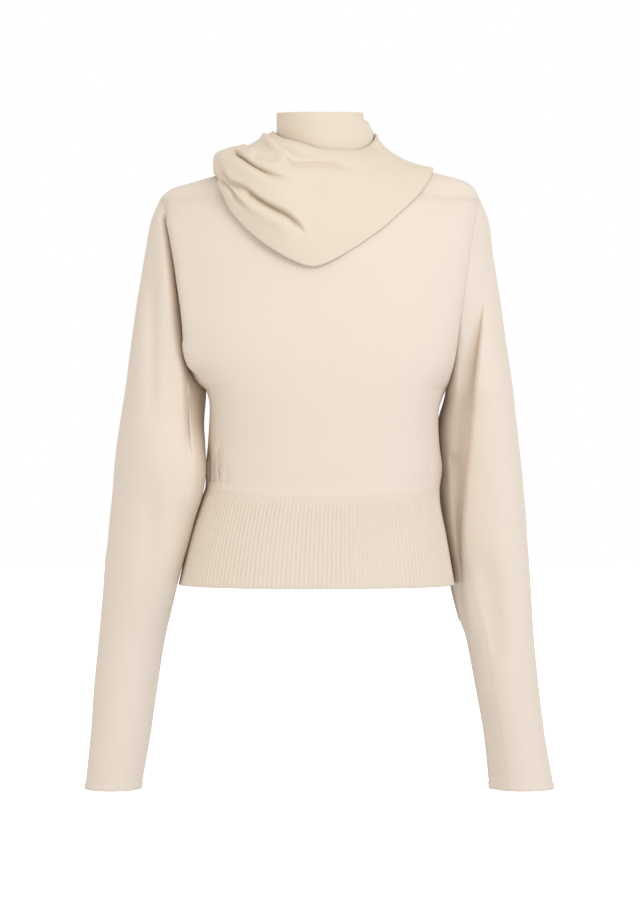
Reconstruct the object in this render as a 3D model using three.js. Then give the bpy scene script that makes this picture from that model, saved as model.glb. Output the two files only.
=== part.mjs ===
// A knit top as it hangs on its wearer: front and back with wide sleeves, a ribbed waistband in two
// halves, a close neck tube, and a cowl that is draped round the neck and gathered on one shoulder.
// Millimetres, +Z up. The front faces -Y and the wearer's right is at -X, the left of a front view.
// The origin is at the middle of the neck, level with the shoulders that carry the garment.
// "drop" is a distance below the origin. Angles are in degrees.
import * as THREE from "three";

// Cloth
const CLOTH = 2; // plain knit
const RIB_CLOTH = 2.2; // waistband between its ribs
const RIB_HEIGHT = 1.2;
const COWL_CLOTH = 2.4; // the softer knit of the cowl
const SEAM_GAP = 0.3;

// Levels and main sizes of the body
const SHOULDER_DROP = 33; // where the shoulder seam meets the armhole
const SHOULDER_HALF = 187;
const UNDERARM_DROP = 258;
const WAIST_DROP = 371; // top of the waistband at the side seams
const WAIST_DIP = 9; // the waistband's top is this much lower at the middle
const HEM_DROP = 484;
const CUFF_DROP = 723;
const SIDE_SEAM_Y = 2;
const SHOULDER_SEAM_Y = 4;

// Neckline, neck tube and shoulders
const NECKLINE = { half: 62, height: 14, frontDepth: 60, frontDip: 30, backDepth: 58, backDip: 8 };
const NECK_TUBE = { y: 2, half: 50.8, depth: 52, top: 66, frontDip: 5, flareEnd: 24 };
// On the wearer's left the tube rolls outwards below its plain top.
const NECK_ROLL = { top: 60, full: 54, foot: 40, out: 7, growth: 4 };
const CHEST_ROLL = 72; // the chest and back round over to the shoulder seam in this height
const ROLL_POWER = 6; // the roll keeps its height until close to the armholes

// Mesh counts
const NECK_COLUMNS = 5;
const SHOULDER_COLUMNS = 8;
const LOWER_ROWS = 4;
const UPPER_ROWS = 14;
const SLEEVE_RINGS = 18;
const RING_SPREAD = 1.2; // over 1, so that rings stand closer towards the armhole
const TUBE_ROWS = 8;
const COWL_SIDES = 66;
const COWL_ROWS = 14;
const RIBS_PER_HALF = 84;
const RIB_ROWS = 3;
const RIB_LINING_COLUMNS = 32; // the waistband's inside is plain
const MEASURING_STEPS = 1500; // for even spacing round the waistband

const COLOURS = { body: 0xeaddca, rib: 0xe6d9c4, cowl: 0xebe1cc, neck: 0xe8dbc8 };

// The body's depth at each height, to the front and to the back of the garment's middle
const DEPTHS = [
  { drop: -10, front: 70, back: 64 },
  { drop: 60, front: 86, back: 80 },
  { drop: 110, front: 99, back: 90 },
  { drop: 160, front: 106, back: 94 },
  { drop: 215, front: 110, back: 92 },
  { drop: 258, front: 109, back: 88 },
  { drop: 320, front: 104, back: 83.5 },
  { drop: 350, front: 102, back: 83 },
  { drop: 371, front: 100, back: 82 },
  { drop: 388, front: 100, back: 83.5 },
  { drop: 430, front: 104, back: 93 },
  { drop: 484, front: 112, back: 103 },
];

// Height of the shoulder seams at a distance from the middle. The wearer's right hangs lower.
const SHOULDERS = [
  { reach: 62, right: 14, left: 14 },
  { reach: 122, right: -6, left: 0 },
  { reach: 150, right: -14, left: -6.5 },
  { reach: 172, right: -20.5, left: -13.5 },
  { reach: 182, right: -27, left: -22 },
  { reach: 187, right: -33, left: -33 },
];

// Where the side seams run below the underarm
const SIDES = [
  { drop: 258, right: 133, left: 147 },
  { drop: 270, right: 129.5, left: 142 },
  { drop: 284, right: 129, left: 138.5 },
  { drop: 320, right: 131, left: 139.5 },
  { drop: 350, right: 134, left: 143 },
  { drop: 371, right: 134, left: 140 },
  { drop: 388, right: 139, left: 139 },
  { drop: 430, right: 152, left: 147 },
  { drop: 484, right: 164, left: 156 },
];

// The armholes from the shoulder to the underarm: how far each lies from the middle, and how far its
// front and back edges lie from y = 0. The cloth folds in along the edge: frontGroove is how deep on
// the wearer's right, and backGroove on both sides.
const ARMHOLE = [
  { drop: 33, right: 187, left: 187, front: -4, back: 4, frontGroove: 0, backGroove: 0 },
  { drop: 40, right: 182.5, left: 185, front: 12, back: 18, frontGroove: 3, backGroove: 0 },
  { drop: 66, right: 174.5, left: 179.5, front: 34, back: 39, frontGroove: 14, backGroove: 3 },
  { drop: 107, right: 167, left: 172.5, front: 50, back: 54, frontGroove: 20, backGroove: 7 },
  { drop: 146, right: 161.5, left: 166.5, front: 58, back: 61, frontGroove: 24, backGroove: 10 },
  { drop: 184, right: 157, left: 161, front: 60, back: 62, frontGroove: 24, backGroove: 10 },
  { drop: 225, right: 151, left: 155.5, front: 48, back: 50, frontGroove: 15, backGroove: 5 },
  { drop: 249, right: 142, left: 150, front: 22, back: 26, frontGroove: 4, backGroove: 0 },
  { drop: 258, right: 133, left: 147, front: -2, back: 2, frontGroove: 0, backGroove: 0 },
];
// Near the underarm those edges turn sharply. Away from them the body's sections follow this instead.
const UNDERARM_BLEND = [
  { drop: 146, right: 161.5, left: 166.5, front: 58, back: 61 },
  { drop: 184, right: 157, left: 161, front: 60, back: 62 },
  { drop: 225, right: 149, left: 155, front: 51, back: 53 },
  { drop: 258, right: 140, left: 149, front: 35, back: 37 },
  { drop: 290, right: 133.5, left: 143.5, front: 17, back: 20 },
  { drop: 320, right: 132, left: 141, front: 4, back: 8 },
  { drop: 350, right: 134, left: 143, front: -2, back: 2 },
];
// A sleeve's front is flatter towards the body, down to where this fades.
const SLEEVE_FLAT = 0.35;
const SLEEVE_FLAT_ENDS = { right: [300, 380], left: [250, 310] };
const EDGE_POWER = 12; // higher keeps the sharp turn closer to the edges
const GROOVE_ON_BODY = 5;
const GROOVE_ON_SLEEVE = 15;

// The sleeves' level sections. outer and inner are distances from the garment's middle, front and
// back those from the arm's line, and skew is how far back the inner side hangs.
const RIGHT_SLEEVE = [
  { drop: 33, outer: 187, inner: 150, front: 24, back: 26, skew: 0 },
  { drop: 60, outer: 198, inner: 142, front: 40, back: 42, skew: 0 },
  { drop: 98, outer: 205, inner: 139, front: 50, back: 54, skew: 0 },
  { drop: 154, outer: 214, inner: 138, front: 57, back: 61, skew: 2 },
  { drop: 211, outer: 222, inner: 138, front: 60, back: 64, skew: 4 },
  { drop: 258, outer: 228, inner: 138, front: 60, back: 64, skew: -6 },
  { drop: 295, outer: 234, inner: 139, front: 58, back: 62, skew: -14 },
  { drop: 323, outer: 238, inner: 135.5, front: 56, back: 59, skew: -24 },
  { drop: 351, outer: 241, inner: 132.5, front: 52, back: 56, skew: -32 },
  { drop: 379, outer: 243, inner: 135.8, front: 48, back: 54, skew: -34 },
  { drop: 407, outer: 246, inner: 144.5, front: 45, back: 52, skew: -31 },
  { drop: 435, outer: 248.5, inner: 152, front: 43, back: 50, skew: -30 },
  { drop: 463, outer: 252, inner: 160, front: 42, back: 48, skew: -28 },
  { drop: 491, outer: 254, inner: 167, front: 41, back: 45, skew: -22 },
  { drop: 519, outer: 256.5, inner: 174, front: 40, back: 42, skew: -12 },
  { drop: 548, outer: 259, inner: 181, front: 38.5, back: 40, skew: -4 },
  { drop: 604, outer: 264.5, inner: 190, front: 36, back: 37, skew: 0 },
  { drop: 660, outer: 268.5, inner: 198, front: 34, back: 35, skew: 0 },
  { drop: 723, outer: 275, inner: 209, front: 32.5, back: 33.5, skew: 0 },
];
const LEFT_SLEEVE = [
  { drop: 33, outer: 187, inner: 150, front: 24, back: 26, skew: 0 },
  { drop: 60, outer: 197.5, inner: 146, front: 40, back: 42, skew: 0 },
  { drop: 98, outer: 202.5, inner: 145, front: 50, back: 54, skew: 0 },
  { drop: 154, outer: 211, inner: 146, front: 58, back: 61, skew: 2 },
  { drop: 211, outer: 219, inner: 148, front: 62, back: 64, skew: 3 },
  { drop: 258, outer: 226, inner: 147.5, front: 65, back: 62.5, skew: 10 },
  { drop: 272, outer: 227.3, inner: 145, front: 66.5, back: 60.5, skew: 20 },
  { drop: 288, outer: 229, inner: 140.5, front: 68, back: 57, skew: 31 },
  { drop: 305, outer: 231, inner: 137, front: 69, back: 54, skew: 39 },
  { drop: 351, outer: 236, inner: 137.5, front: 66, back: 48, skew: 44 },
  { drop: 379, outer: 238.5, inner: 138, front: 62, back: 46, skew: 40 },
  { drop: 407, outer: 241, inner: 141.5, front: 57, back: 45, skew: 34 },
  { drop: 435, outer: 242.5, inner: 146, front: 53, back: 43, skew: 30 },
  { drop: 463, outer: 245, inner: 151.5, front: 50, back: 41, skew: 28 },
  { drop: 491, outer: 247, inner: 156.5, front: 47, back: 40, skew: 24 },
  { drop: 519, outer: 248.5, inner: 163, front: 44, back: 39, skew: 16 },
  { drop: 548, outer: 250.5, inner: 171, front: 40.5, back: 38.5, skew: 6 },
  { drop: 604, outer: 256, inner: 181.5, front: 36, back: 37, skew: 0 },
  { drop: 660, outer: 263, inner: 191.5, front: 34, back: 35, skew: 0 },
  { drop: 723, outer: 274, inner: 198, front: 32.5, back: 33.5, skew: 0 },
];
const SLEEVE_BLEND = 120; // the armhole's shape dies away over this length of sleeve

// Folds, as seen from straight in front at a distance. path holds [x, drop] points. leftHand and
// rightHand are the trough's reach to each hand of someone who walks the path, and a ridge has a
// depth under 0. fadeIn and fadeOut are the shares of the path over which the fold begins and ends.
const VIEW = { distance: 3200, drop: 326 };
const FRONT_FOLDS = [
  {
    path: [[-157, 190], [-156, 250], [-154, 300], [-150, 350]],
    depth: 15, leftHand: 12, rightHand: 8, fadeIn: 0.3, fadeOut: 0.45,
  },
  {
    path: [[-197, 90], [-197, 160], [-197, 240], [-198, 320]],
    depth: 6, leftHand: 8, rightHand: 10, fadeIn: 0.3, fadeOut: 0.4,
  },
  {
    path: [[-199, 350], [-199, 400], [-201, 450], [-206, 540]],
    depth: 3, leftHand: 12, rightHand: 12, fadeIn: 0.3, fadeOut: 0.4,
  },
  {
    path: [[192, 125], [188, 210], [179, 300], [170, 400], [167, 470], [167, 530]],
    depth: 21, leftHand: 8, rightHand: 24, fadeIn: 0.28, fadeOut: 0.2,
  },
  {
    path: [[156, 330], [150, 346], [142, 362]],
    depth: 8, leftHand: 12, rightHand: 8, fadeIn: 0.3, fadeOut: 0.1,
  },
  {
    path: [[194, 440], [200, 500], [207, 560], [212, 600]],
    depth: 5, leftHand: 14, rightHand: 12, fadeIn: 0.3, fadeOut: 0.4,
  },
  {
    path: [[186, 600], [194, 650], [200, 700], [203, 723]],
    depth: 7, leftHand: 8, rightHand: 14, fadeIn: 0.3, fadeOut: 0,
  },
];
const BACK_FOLDS = [
  {
    path: [[-155, 200], [-154, 270], [-158, 350], [-170, 430]],
    depth: 14, leftHand: 16, rightHand: 9, fadeIn: 0.35, fadeOut: 0.4,
  },
  {
    path: [[158, 200], [163, 280], [170, 360], [178, 440]],
    depth: 15, leftHand: 9, rightHand: 18, fadeIn: 0.35, fadeOut: 0.4,
  },
  {
    path: [[-203, 110], [-207, 220], [-212, 330]],
    depth: 5, leftHand: 10, rightHand: 10, fadeIn: 0.3, fadeOut: 0.4,
  },
  {
    path: [[205, 160], [210, 260], [214, 380]],
    depth: 5, leftHand: 10, rightHand: 10, fadeIn: 0.3, fadeOut: 0.4,
  },
];
const FOLD_FROM = 3; // folds on body and sleeves grow from this distance off the side line
const FOLD_FULL = 26; // and are full from here

// The cowl round the neck: angles run from the front to the wearer's left, so 90 is at +X. Each row
// is one section, from its rim at the neck through two shaping points towards its edge.
const COWL = [
  { angle: 0, rim: 58, rimHeight: 18, high: 78, highHeight: 27, low: 120, lowHeight: -58 },
  { angle: 45, rim: 59, rimHeight: 19, high: 76, highHeight: 22, low: 110, lowHeight: -26 },
  { angle: 68, rim: 62, rimHeight: 27, high: 72, highHeight: 26, low: 100, lowHeight: -4 },
  { angle: 90, rim: 66, rimHeight: 41, high: 69, highHeight: 34, low: 86, lowHeight: 10 },
  { angle: 110, rim: 64, rimHeight: 46, high: 70, highHeight: 38, low: 92, lowHeight: 8 },
  { angle: 135, rim: 60, rimHeight: 49, high: 72, highHeight: 40, low: 100, lowHeight: 4 },
  { angle: 180, rim: 58, rimHeight: 48, high: 74, highHeight: 42, low: 104, lowHeight: -8 },
  { angle: 225, rim: 58, rimHeight: 46, high: 76, highHeight: 40, low: 118, lowHeight: 14 },
  { angle: 255, rim: 55.5, rimHeight: 46, high: 72, highHeight: 30, low: 122, lowHeight: 33 },
  { angle: 270, rim: 55.5, rimHeight: 46, high: 72, highHeight: 27, low: 126, lowHeight: 35 },
  { angle: 290, rim: 56, rimHeight: 41, high: 75, highHeight: 31, low: 133, lowHeight: 26 },
  { angle: 315, rim: 57, rimHeight: 32, high: 80, highHeight: 38, low: 142, lowHeight: 2 },
  { angle: 338, rim: 58, rimHeight: 26, high: 80, highHeight: 33, low: 134, lowHeight: -34 },
];
const COWL_EDGE = [
  { angle: 0, reach: 109, height: -118 },
  { angle: 19, reach: 107, height: -100 },
  { angle: 37, reach: 114, height: -76 },
  { angle: 51, reach: 121, height: -52 },
  { angle: 63, reach: 126, height: -33 },
  { angle: 76, reach: 130, height: -12 },
  { angle: 90, reach: 132, height: 3 },
  { angle: 112, reach: 128, height: -12 },
  { angle: 145, reach: 112, height: -42 },
  { angle: 180, reach: 98, height: -60 },
  { angle: 215, reach: 112, height: -48 },
  { angle: 250, reach: 126, height: -18 },
  { angle: 270, reach: 124.5, height: -2 },
  { angle: 287, reach: 127, height: -15 },
  { angle: 299, reach: 128, height: -35 },
  { angle: 307, reach: 129, height: -53 },
  { angle: 320, reach: 123, height: -80 },
  { angle: 334, reach: 117, height: -101 },
  { angle: 350, reach: 111, height: -117 },
];
// Inside its rim the cowl turns down to the neck tube, where it is sewn on.
const COWL_TURN = [
  { below: 10, gap: 1.1 },
  { below: 3.5, gap: 1.5 },
];
const COWL_CLEAR = 1.1; // the cowl rests this far off the body
const CLEAR_STEP = 0.25;
const SHOULDER_TOP = 45; // half of the shoulders' rounded top
const SHOULDER_FLAT = 0.3; // share of it that is level
const COWL_DENSITY = { angle: 325, amount: 0.3 }; // its columns stand closer together round here
const COWL_FRONT_FOLDS = [
  {
    path: [[-82, -21], [-58, -16], [-35, -9], [12, -7], [43, -3]],
    depth: 11, leftHand: 7, rightHand: 9, fadeIn: 0, fadeOut: 0.8,
  },
  {
    path: [[-98, -23], [-72, -9], [-49, 6], [-23, 18]],
    depth: 10, leftHand: 7, rightHand: 9, fadeIn: 0.1, fadeOut: 0.4,
  },
  {
    path: [[-120, -8], [-104, 11], [-41, 44], [-20, 75]],
    depth: 15, leftHand: 7, rightHand: 10, fadeIn: 0.2, fadeOut: 0.25,
  },
  {
    path: [[-122, 7], [-107, 21], [-91, 40], [-77, 57]],
    depth: 9, leftHand: 7, rightHand: 7, fadeIn: 0.2, fadeOut: 0.5,
  },
  {
    path: [[-20, 75], [-15, 90], [-11, 108]],
    depth: 4, leftHand: 8, rightHand: 14, fadeIn: 0.3, fadeOut: 0.1,
  },
  {
    path: [[-112, -18], [-80, 6], [-47, 25], [-20, 45]],
    depth: -5, leftHand: 12, rightHand: 12, fadeIn: 0.1, fadeOut: 0.5,
  },
  {
    path: [[-103, 20], [-68, 49], [-28, 80]],
    depth: -6, leftHand: 10, rightHand: 10, fadeIn: 0.3, fadeOut: 0.3,
  },
  {
    path: [[-20, 24], [10, 27], [50, 8]],
    depth: 3, leftHand: 10, rightHand: 12, fadeIn: 0.4, fadeOut: 0.5,
  },
];
const COWL_BACK_FOLDS = [
  {
    path: [[-82, -21], [-40, -12], [0, -8], [50, -14]],
    depth: 7, leftHand: 8, rightHand: 10, fadeIn: 0, fadeOut: 0.4,
  },
  {
    path: [[-98, -23], [-66, 0], [-20, 12], [50, 4]],
    depth: 9, leftHand: 9, rightHand: 11, fadeIn: 0, fadeOut: 0.5,
  },
  {
    path: [[-120, -8], [-84, 22], [-30, 38], [30, 34]],
    depth: 10, leftHand: 9, rightHand: 11, fadeIn: 0, fadeOut: 0.5,
  },
];
const COWL_FOLD_START = 0.08; // share of a section over which the folds begin at the rim
const BEHIND = { from: 5, to: 35 }; // between these the front's folds give way to the back's

const { lerp, smoothstep, clamp, degToRad } = THREE.MathUtils;

// A smooth curve through one column of a table against its key column, level past both ends.
function curve(rows, key, column) {
  const at = rows.map((row) => row[key]);
  const value = rows.map((row) => row[column]);
  const last = at.length - 1;
  const slope = at.map((_, i) => {
    const before = Math.max(i - 1, 0);
    const after = Math.min(i + 1, last);
    return (value[after] - value[before]) / (at[after] - at[before]);
  });
  return (where) => {
    if (where <= at[0]) return value[0];
    if (where >= at[last]) return value[last];
    const i = at.findIndex((next) => next > where) - 1;
    const span = at[i + 1] - at[i];
    const t = (where - at[i]) / span;
    const start = (1 + 2 * t) * (1 - t) ** 2;
    const slopes = t * (1 - t) ** 2 * slope[i] + t * t * (t - 1) * slope[i + 1];
    return start * value[i] + (1 - start) * value[i + 1] + span * slopes;
  };
}

// Curves for every column of a table.
function curves(rows, key) {
  const columns = Object.keys(rows[0]).filter((column) => column !== key);
  return Object.fromEntries(columns.map((column) => [column, curve(rows, key, column)]));
}

// The same for a table of angles that closes on itself.
function closedCurves(rows) {
  const before = rows.slice(-2).map((row) => ({ ...row, angle: row.angle - 360 }));
  const after = rows.slice(0, 2).map((row) => ({ ...row, angle: row.angle + 360 }));
  return curves([...before, ...rows, ...after], "angle");
}

const depths = curves(DEPTHS, "drop");
const sides = curves(SIDES, "drop");
const shoulders = curves(SHOULDERS, "reach");
const armhole = curves(ARMHOLE, "drop");
const underarm = curves(UNDERARM_BLEND, "drop");
const sleeves = { right: curves(RIGHT_SLEEVE, "drop"), left: curves(LEFT_SLEEVE, "drop") };
const cowl = closedCurves(COWL);
const cowlEdge = closedCurves(COWL_EDGE);

// A fold with points along its path, close enough together to measure from.
const PATH_STEPS = 30;
function traced(fold) {
  const points = fold.path.map(([x, drop]) => new THREE.Vector3(x, -drop, 0));
  const line = new THREE.CatmullRomCurve3(points, false, "centripetal").getSpacedPoints(PATH_STEPS);
  return { ...fold, line };
}

const bodyFolds = { front: FRONT_FOLDS.map(traced), back: BACK_FOLDS.map(traced) };
const cowlFolds = { front: COWL_FRONT_FOLDS.map(traced), back: COWL_BACK_FOLDS.map(traced) };

// How deep the folds press the cloth in at a point.
function foldDepth(folds, point) {
  const nearer = VIEW.distance / (VIEW.distance + point.y);
  const x = point.x * nearer;
  const z = (point.z + VIEW.drop) * nearer - VIEW.drop;
  let total = 0;
  for (const { line, depth, leftHand, rightHand, fadeIn, fadeOut } of folds) {
    let best = { distance: Infinity };
    for (let i = 0; i < PATH_STEPS; i++) {
      const dx = line[i + 1].x - line[i].x;
      const dz = line[i + 1].y - line[i].y;
      const px = x - line[i].x;
      const pz = z - line[i].y;
      const t = clamp((px * dx + pz * dz) / (dx * dx + dz * dz), 0, 1);
      const distance = Math.hypot(px - t * dx, pz - t * dz);
      if (distance < best.distance) {
        best = { distance, left: dx * pz > dz * px, along: (i + t) / PATH_STEPS };
      }
    }
    const width = best.left ? leftHand : rightHand;
    const begins = fadeIn > 0 ? smoothstep(best.along, 0, fadeIn) : 1;
    const ends = fadeOut > 0 ? 1 - smoothstep(best.along, 1 - fadeOut, 1) : 1;
    total += depth * begins * ends * Math.exp(-((best.distance / width) ** 2));
  }
  return total;
}

// The body's and sleeves' folds move the cloth towards the middle, and die away at the side lines.
function foldIn(point, face) {
  const full = smoothstep(Math.abs(point.y - SIDE_SEAM_Y), FOLD_FROM, FOLD_FULL);
  const inwards = face === "front" ? 1 : -1;
  point.y += inwards * full * foldDepth(bodyFolds[face], point);
  return point;
}

// Share of the way from one end of the armhole to the other: rows stand closer near both ends.
function levelShare(step) {
  const share = step / UPPER_ROWS;
  return (share + (1 - Math.cos(Math.PI * share)) / 2) / 2;
}

// How far the armhole's fold pulls the cloth in.
function groove(side, face, drop) {
  if (face === "back") return armhole.backGroove(drop);
  return side === "right" ? armhole.frontGroove(drop) : 0;
}

// The armhole's edge without its fold.
function armholePoint(side, face, drop) {
  const x = (side === "right" ? -1 : 1) * armhole[side](drop);
  return new THREE.Vector3(x, face === "front" ? -armhole.front(drop) : armhole.back(drop), -drop);
}

const onNeckline = (x) => Math.abs(x) < NECKLINE.half - 1e-6;

// The upper edge of the front or the back: the shoulder seams and the neckline between them.
function topEdge(face, across) {
  const x = across * SHOULDER_HALF;
  if (!onNeckline(x)) {
    const height = shoulders[x < 0 ? "right" : "left"](Math.abs(x));
    return new THREE.Vector3(x, SHOULDER_SEAM_Y, height);
  }
  const round = Math.sqrt(1 - (x / NECKLINE.half) ** 2);
  const y = face === "front" ? -NECKLINE.frontDepth * round : NECKLINE.backDepth * round;
  const dip = face === "front" ? NECKLINE.frontDip : NECKLINE.backDip;
  return new THREE.Vector3(x, SHOULDER_SEAM_Y + y, NECKLINE.height - dip * round);
}

// The body's rounded section at a height. across runs from -1 at the right side to 1 at the left.
const SECTION_POWER = 2.3;
const OPEN_POWER = 1.15; // above the underarm the section runs on into the sleeve
const OPENS_OVER = 130;
function bodyPoint(face, across, z) {
  const drop = -z;
  const sign = face === "front" ? -1 : 1;
  const above = drop < UNDERARM_DROP - 1e-6;
  const reach = above ? armhole : sides;
  const edgeY = above ? sign * armhole[face](drop) : SIDE_SEAM_Y;
  const blends = drop > UNDERARM_BLEND[0].drop && drop < UNDERARM_BLEND.at(-1).drop;
  const smooth = blends ? underarm : reach;
  const smoothY = blends ? sign * underarm[face](drop) : edgeY;
  const opened = smoothstep(drop, UNDERARM_DROP - OPENS_OVER, UNDERARM_DROP);
  const power = lerp(OPEN_POWER, SECTION_POWER, opened);
  const full = (1 - Math.abs(across) ** SECTION_POWER) ** (1 / power);
  const atEdge = Math.abs(across) ** EDGE_POWER;
  const side = across < 0 ? "right" : "left";
  const point = new THREE.Vector3(
    lerp(-smooth.right(drop), smooth.left(drop), (across + 1) / 2),
    lerp(smoothY, sign * depths[face](drop), full),
    z,
  );
  point.x += Math.sign(across) * atEdge * (reach[side](drop) - smooth[side](drop));
  point.y += atEdge * (edgeY - smoothY);
  if (above) {
    const top = topEdge(face, across);
    const share = clamp((top.z - z) / (CHEST_ROLL * (1 - across ** ROLL_POWER) + 1), 0, 1);
    point.y = lerp(top.y, point.y, Math.sqrt(1 - (1 - share) ** 2));
    for (const edge of ["right", "left"]) {
      const away = Math.abs(point.x - armholePoint(edge, face, drop).x);
      point.y -= sign * groove(edge, face, drop) * Math.exp(-((away / GROOVE_ON_BODY) ** 2));
    }
  }
  return foldIn(point, face);
}

// Across values of the body's columns: even turns round the neckline, then closer towards the sides.
function bodyColumns() {
  const half = [];
  const neck = NECKLINE.half / SHOULDER_HALF;
  for (let i = 1; i <= NECK_COLUMNS; i++) {
    half.push(neck * Math.sin((i / NECK_COLUMNS) * (Math.PI / 2)));
  }
  for (let i = 1; i <= SHOULDER_COLUMNS; i++) {
    half.push(neck + (1 - neck) * Math.sin((i / SHOULDER_COLUMNS) * (Math.PI / 2)));
  }
  return [...half.map((across) => -across).reverse(), 0, ...half];
}

const waistHeight = (across) => -(WAIST_DROP + WAIST_DIP * (1 - across * across));

// The front or the back as a grid of points, from the waistband up.
function bodyGrid(face) {
  const columns = bodyColumns();
  const rows = [];
  for (let i = 0; i < LOWER_ROWS; i++) {
    rows.push(columns.map((across) => {
      const z = lerp(waistHeight(across) + SEAM_GAP, -UNDERARM_DROP, i / LOWER_ROWS);
      return bodyPoint(face, across, z);
    }));
  }
  for (let i = 0; i <= UPPER_ROWS; i++) {
    rows.push(columns.map((across) => {
      const z = lerp(-UNDERARM_DROP, topEdge(face, across).z, levelShare(i));
      return bodyPoint(face, across, z);
    }));
  }
  return rows;
}

// A point of a sleeve's level section. The angle runs from the outer side to the front.
function sleeveSection(side, angle, z) {
  const table = sleeves[side];
  const drop = -z;
  const outward = Math.cos(degToRad(angle));
  const forward = Math.sin(degToRad(angle));
  const middle = (table.outer(drop) + table.inner(drop)) / 2;
  const half = (table.outer(drop) - table.inner(drop)) / 2;
  const depth = forward > 0 ? table.front(drop) : table.back(drop);
  const x = (side === "right" ? -1 : 1) * (middle + half * outward);
  const flat = SLEEVE_FLAT * (1 - smoothstep(drop, ...SLEEVE_FLAT_ENDS[side]));
  const bulge = outward < 0 && forward > 0 ? forward ** (1 - flat) : forward;
  const y = SIDE_SEAM_Y + (table.skew(drop) * (1 - outward)) / 2 - depth * bulge;
  return new THREE.Vector3(x, y, z);
}

// A sleeve as a grid of rings, from the cuff up to the armhole.
const SLEEVE_SIDES = 2 * UPPER_ROWS;
function sleeveGrid(side) {
  const rings = [];
  for (let ring = SLEEVE_RINGS; ring >= 0; ring--) {
    const share = (ring / SLEEVE_RINGS) ** RING_SPREAD;
    rings.push(Array.from({ length: SLEEVE_SIDES }, (_, i) => {
      const angle = (i / SLEEVE_SIDES) * 360;
      const face = angle <= 180 ? "front" : "back";
      const level = levelShare(Math.min(i, SLEEVE_SIDES - i));
      const start = armholePoint(side, face, lerp(SHOULDER_DROP, UNDERARM_DROP, level));
      const z = lerp(start.z, -CUFF_DROP, share);
      const offset = start.clone().sub(sleeveSection(side, angle, start.z));
      const kept = 1 - smoothstep(start.z - z, 0, SLEEVE_BLEND);
      const point = sleeveSection(side, angle, z).addScaledVector(offset, kept);
      if (z > -UNDERARM_DROP) {
        const away = Math.abs(point.x - armholePoint(side, face, -z).x);
        const inwards = face === "front" ? 1 : -1;
        point.y += inwards * groove(side, face, -z) * Math.exp(-((away / GROOVE_ON_SLEEVE) ** 2));
      }
      return foldIn(point, face);
    }));
  }
  return rings;
}

// A point of the waistband's plain section, between its top edge and the hem.
function bandPoint(face, across, share) {
  const z = lerp(-HEM_DROP, waistHeight(across), share);
  const x = lerp(-sides.right(-z), sides.left(-z), (across + 1) / 2);
  const full = (1 - Math.abs(across) ** SECTION_POWER) ** (1 / SECTION_POWER);
  const sign = face === "front" ? -1 : 1;
  return new THREE.Vector3(x, lerp(SIDE_SEAM_Y, sign * depths[face](-z), full), z);
}

// Across values that are evenly spaced round the band at its mid height.
function evenAcross(face, count) {
  const fine = MEASURING_STEPS;
  const values = Array.from({ length: fine + 1 }, (_, i) => Math.sin((i / fine - 0.5) * Math.PI));
  const points = values.map((across) => bandPoint(face, across, 0.5));
  const along = [0];
  for (let i = 1; i <= fine; i++) along.push(along[i - 1] + points[i].distanceTo(points[i - 1]));
  return Array.from({ length: count + 1 }, (_, i) => {
    if (i === count) return 1;
    const target = (along[fine] * i) / count;
    const at = Math.max(along.findIndex((length) => length >= target), 1);
    return lerp(values[at - 1], values[at], (target - along[at - 1]) / (along[at] - along[at - 1]));
  });
}

// Half of the waistband: ribs on the outside, every second column raised, and a plain inside.
function bandHalf(face) {
  const grid = (columns) => {
    const rows = Array.from({ length: RIB_ROWS + 1 }, (_, row) => {
      const line = evenAcross(face, columns).map((across) => bandPoint(face, across, row / RIB_ROWS));
      return face === "front" ? line : line.reverse();
    });
    const piece = patch(rows, false);
    for (const row of piece.normals.keys()) {
      for (const i of [0, columns]) {
        piece.normals[row][i].setY(0).normalize();
        piece.rows[row][i].y += ((face === "front" ? -1 : 1) * SEAM_GAP) / 2;
      }
      for (const normal of piece.normals[row]) normal.setZ(0).normalize();
    }
    return piece;
  };
  const outside = grid(2 * RIBS_PER_HALF);
  const ribbed = outside.rows.map((line, row) => line.map((point, i) => {
    return point.clone().addScaledVector(outside.normals[row][i], i % 2 ? RIB_HEIGHT : 0);
  }));
  return wall(ribbed, moved(grid(RIB_LINING_COLUMNS), -RIB_CLOTH), false);
}

// Height of the neckline. turn runs from the front to the wearer's left.
function necklineHeight(turn) {
  const forward = Math.cos(turn);
  const dip = forward > 0 ? NECKLINE.frontDip : NECKLINE.backDip;
  return NECKLINE.height - dip * Math.abs(forward);
}

// How far the neck tube's roll stands out towards the wearer's left.
function neckRoll(turn, z) {
  const { top, full, foot, out, growth } = NECK_ROLL;
  const rolled = out * (1 - smoothstep(z, full, top)) + growth * (1 - smoothstep(z, foot, full));
  return rolled * Math.max(0, Math.sin(turn)) ** 2;
}

// A point of the neck tube.
function neckPoint(turn, z) {
  const forward = Math.cos(turn);
  const base = necklineHeight(turn);
  const flare = 1 - smoothstep(z, base, NECK_TUBE.flareEnd);
  const half = lerp(NECK_TUBE.half, NECKLINE.half - SEAM_GAP, flare);
  const reach = (forward > 0 ? NECKLINE.frontDepth : NECKLINE.backDepth) - SEAM_GAP;
  const depth = lerp(NECK_TUBE.depth, reach, flare);
  const middle = lerp(NECK_TUBE.y, SHOULDER_SEAM_Y, flare);
  const x = half * Math.sin(turn) + (1 - flare) * neckRoll(turn, z);
  return new THREE.Vector3(x, middle - depth * forward, Math.max(z, base));
}

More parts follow.
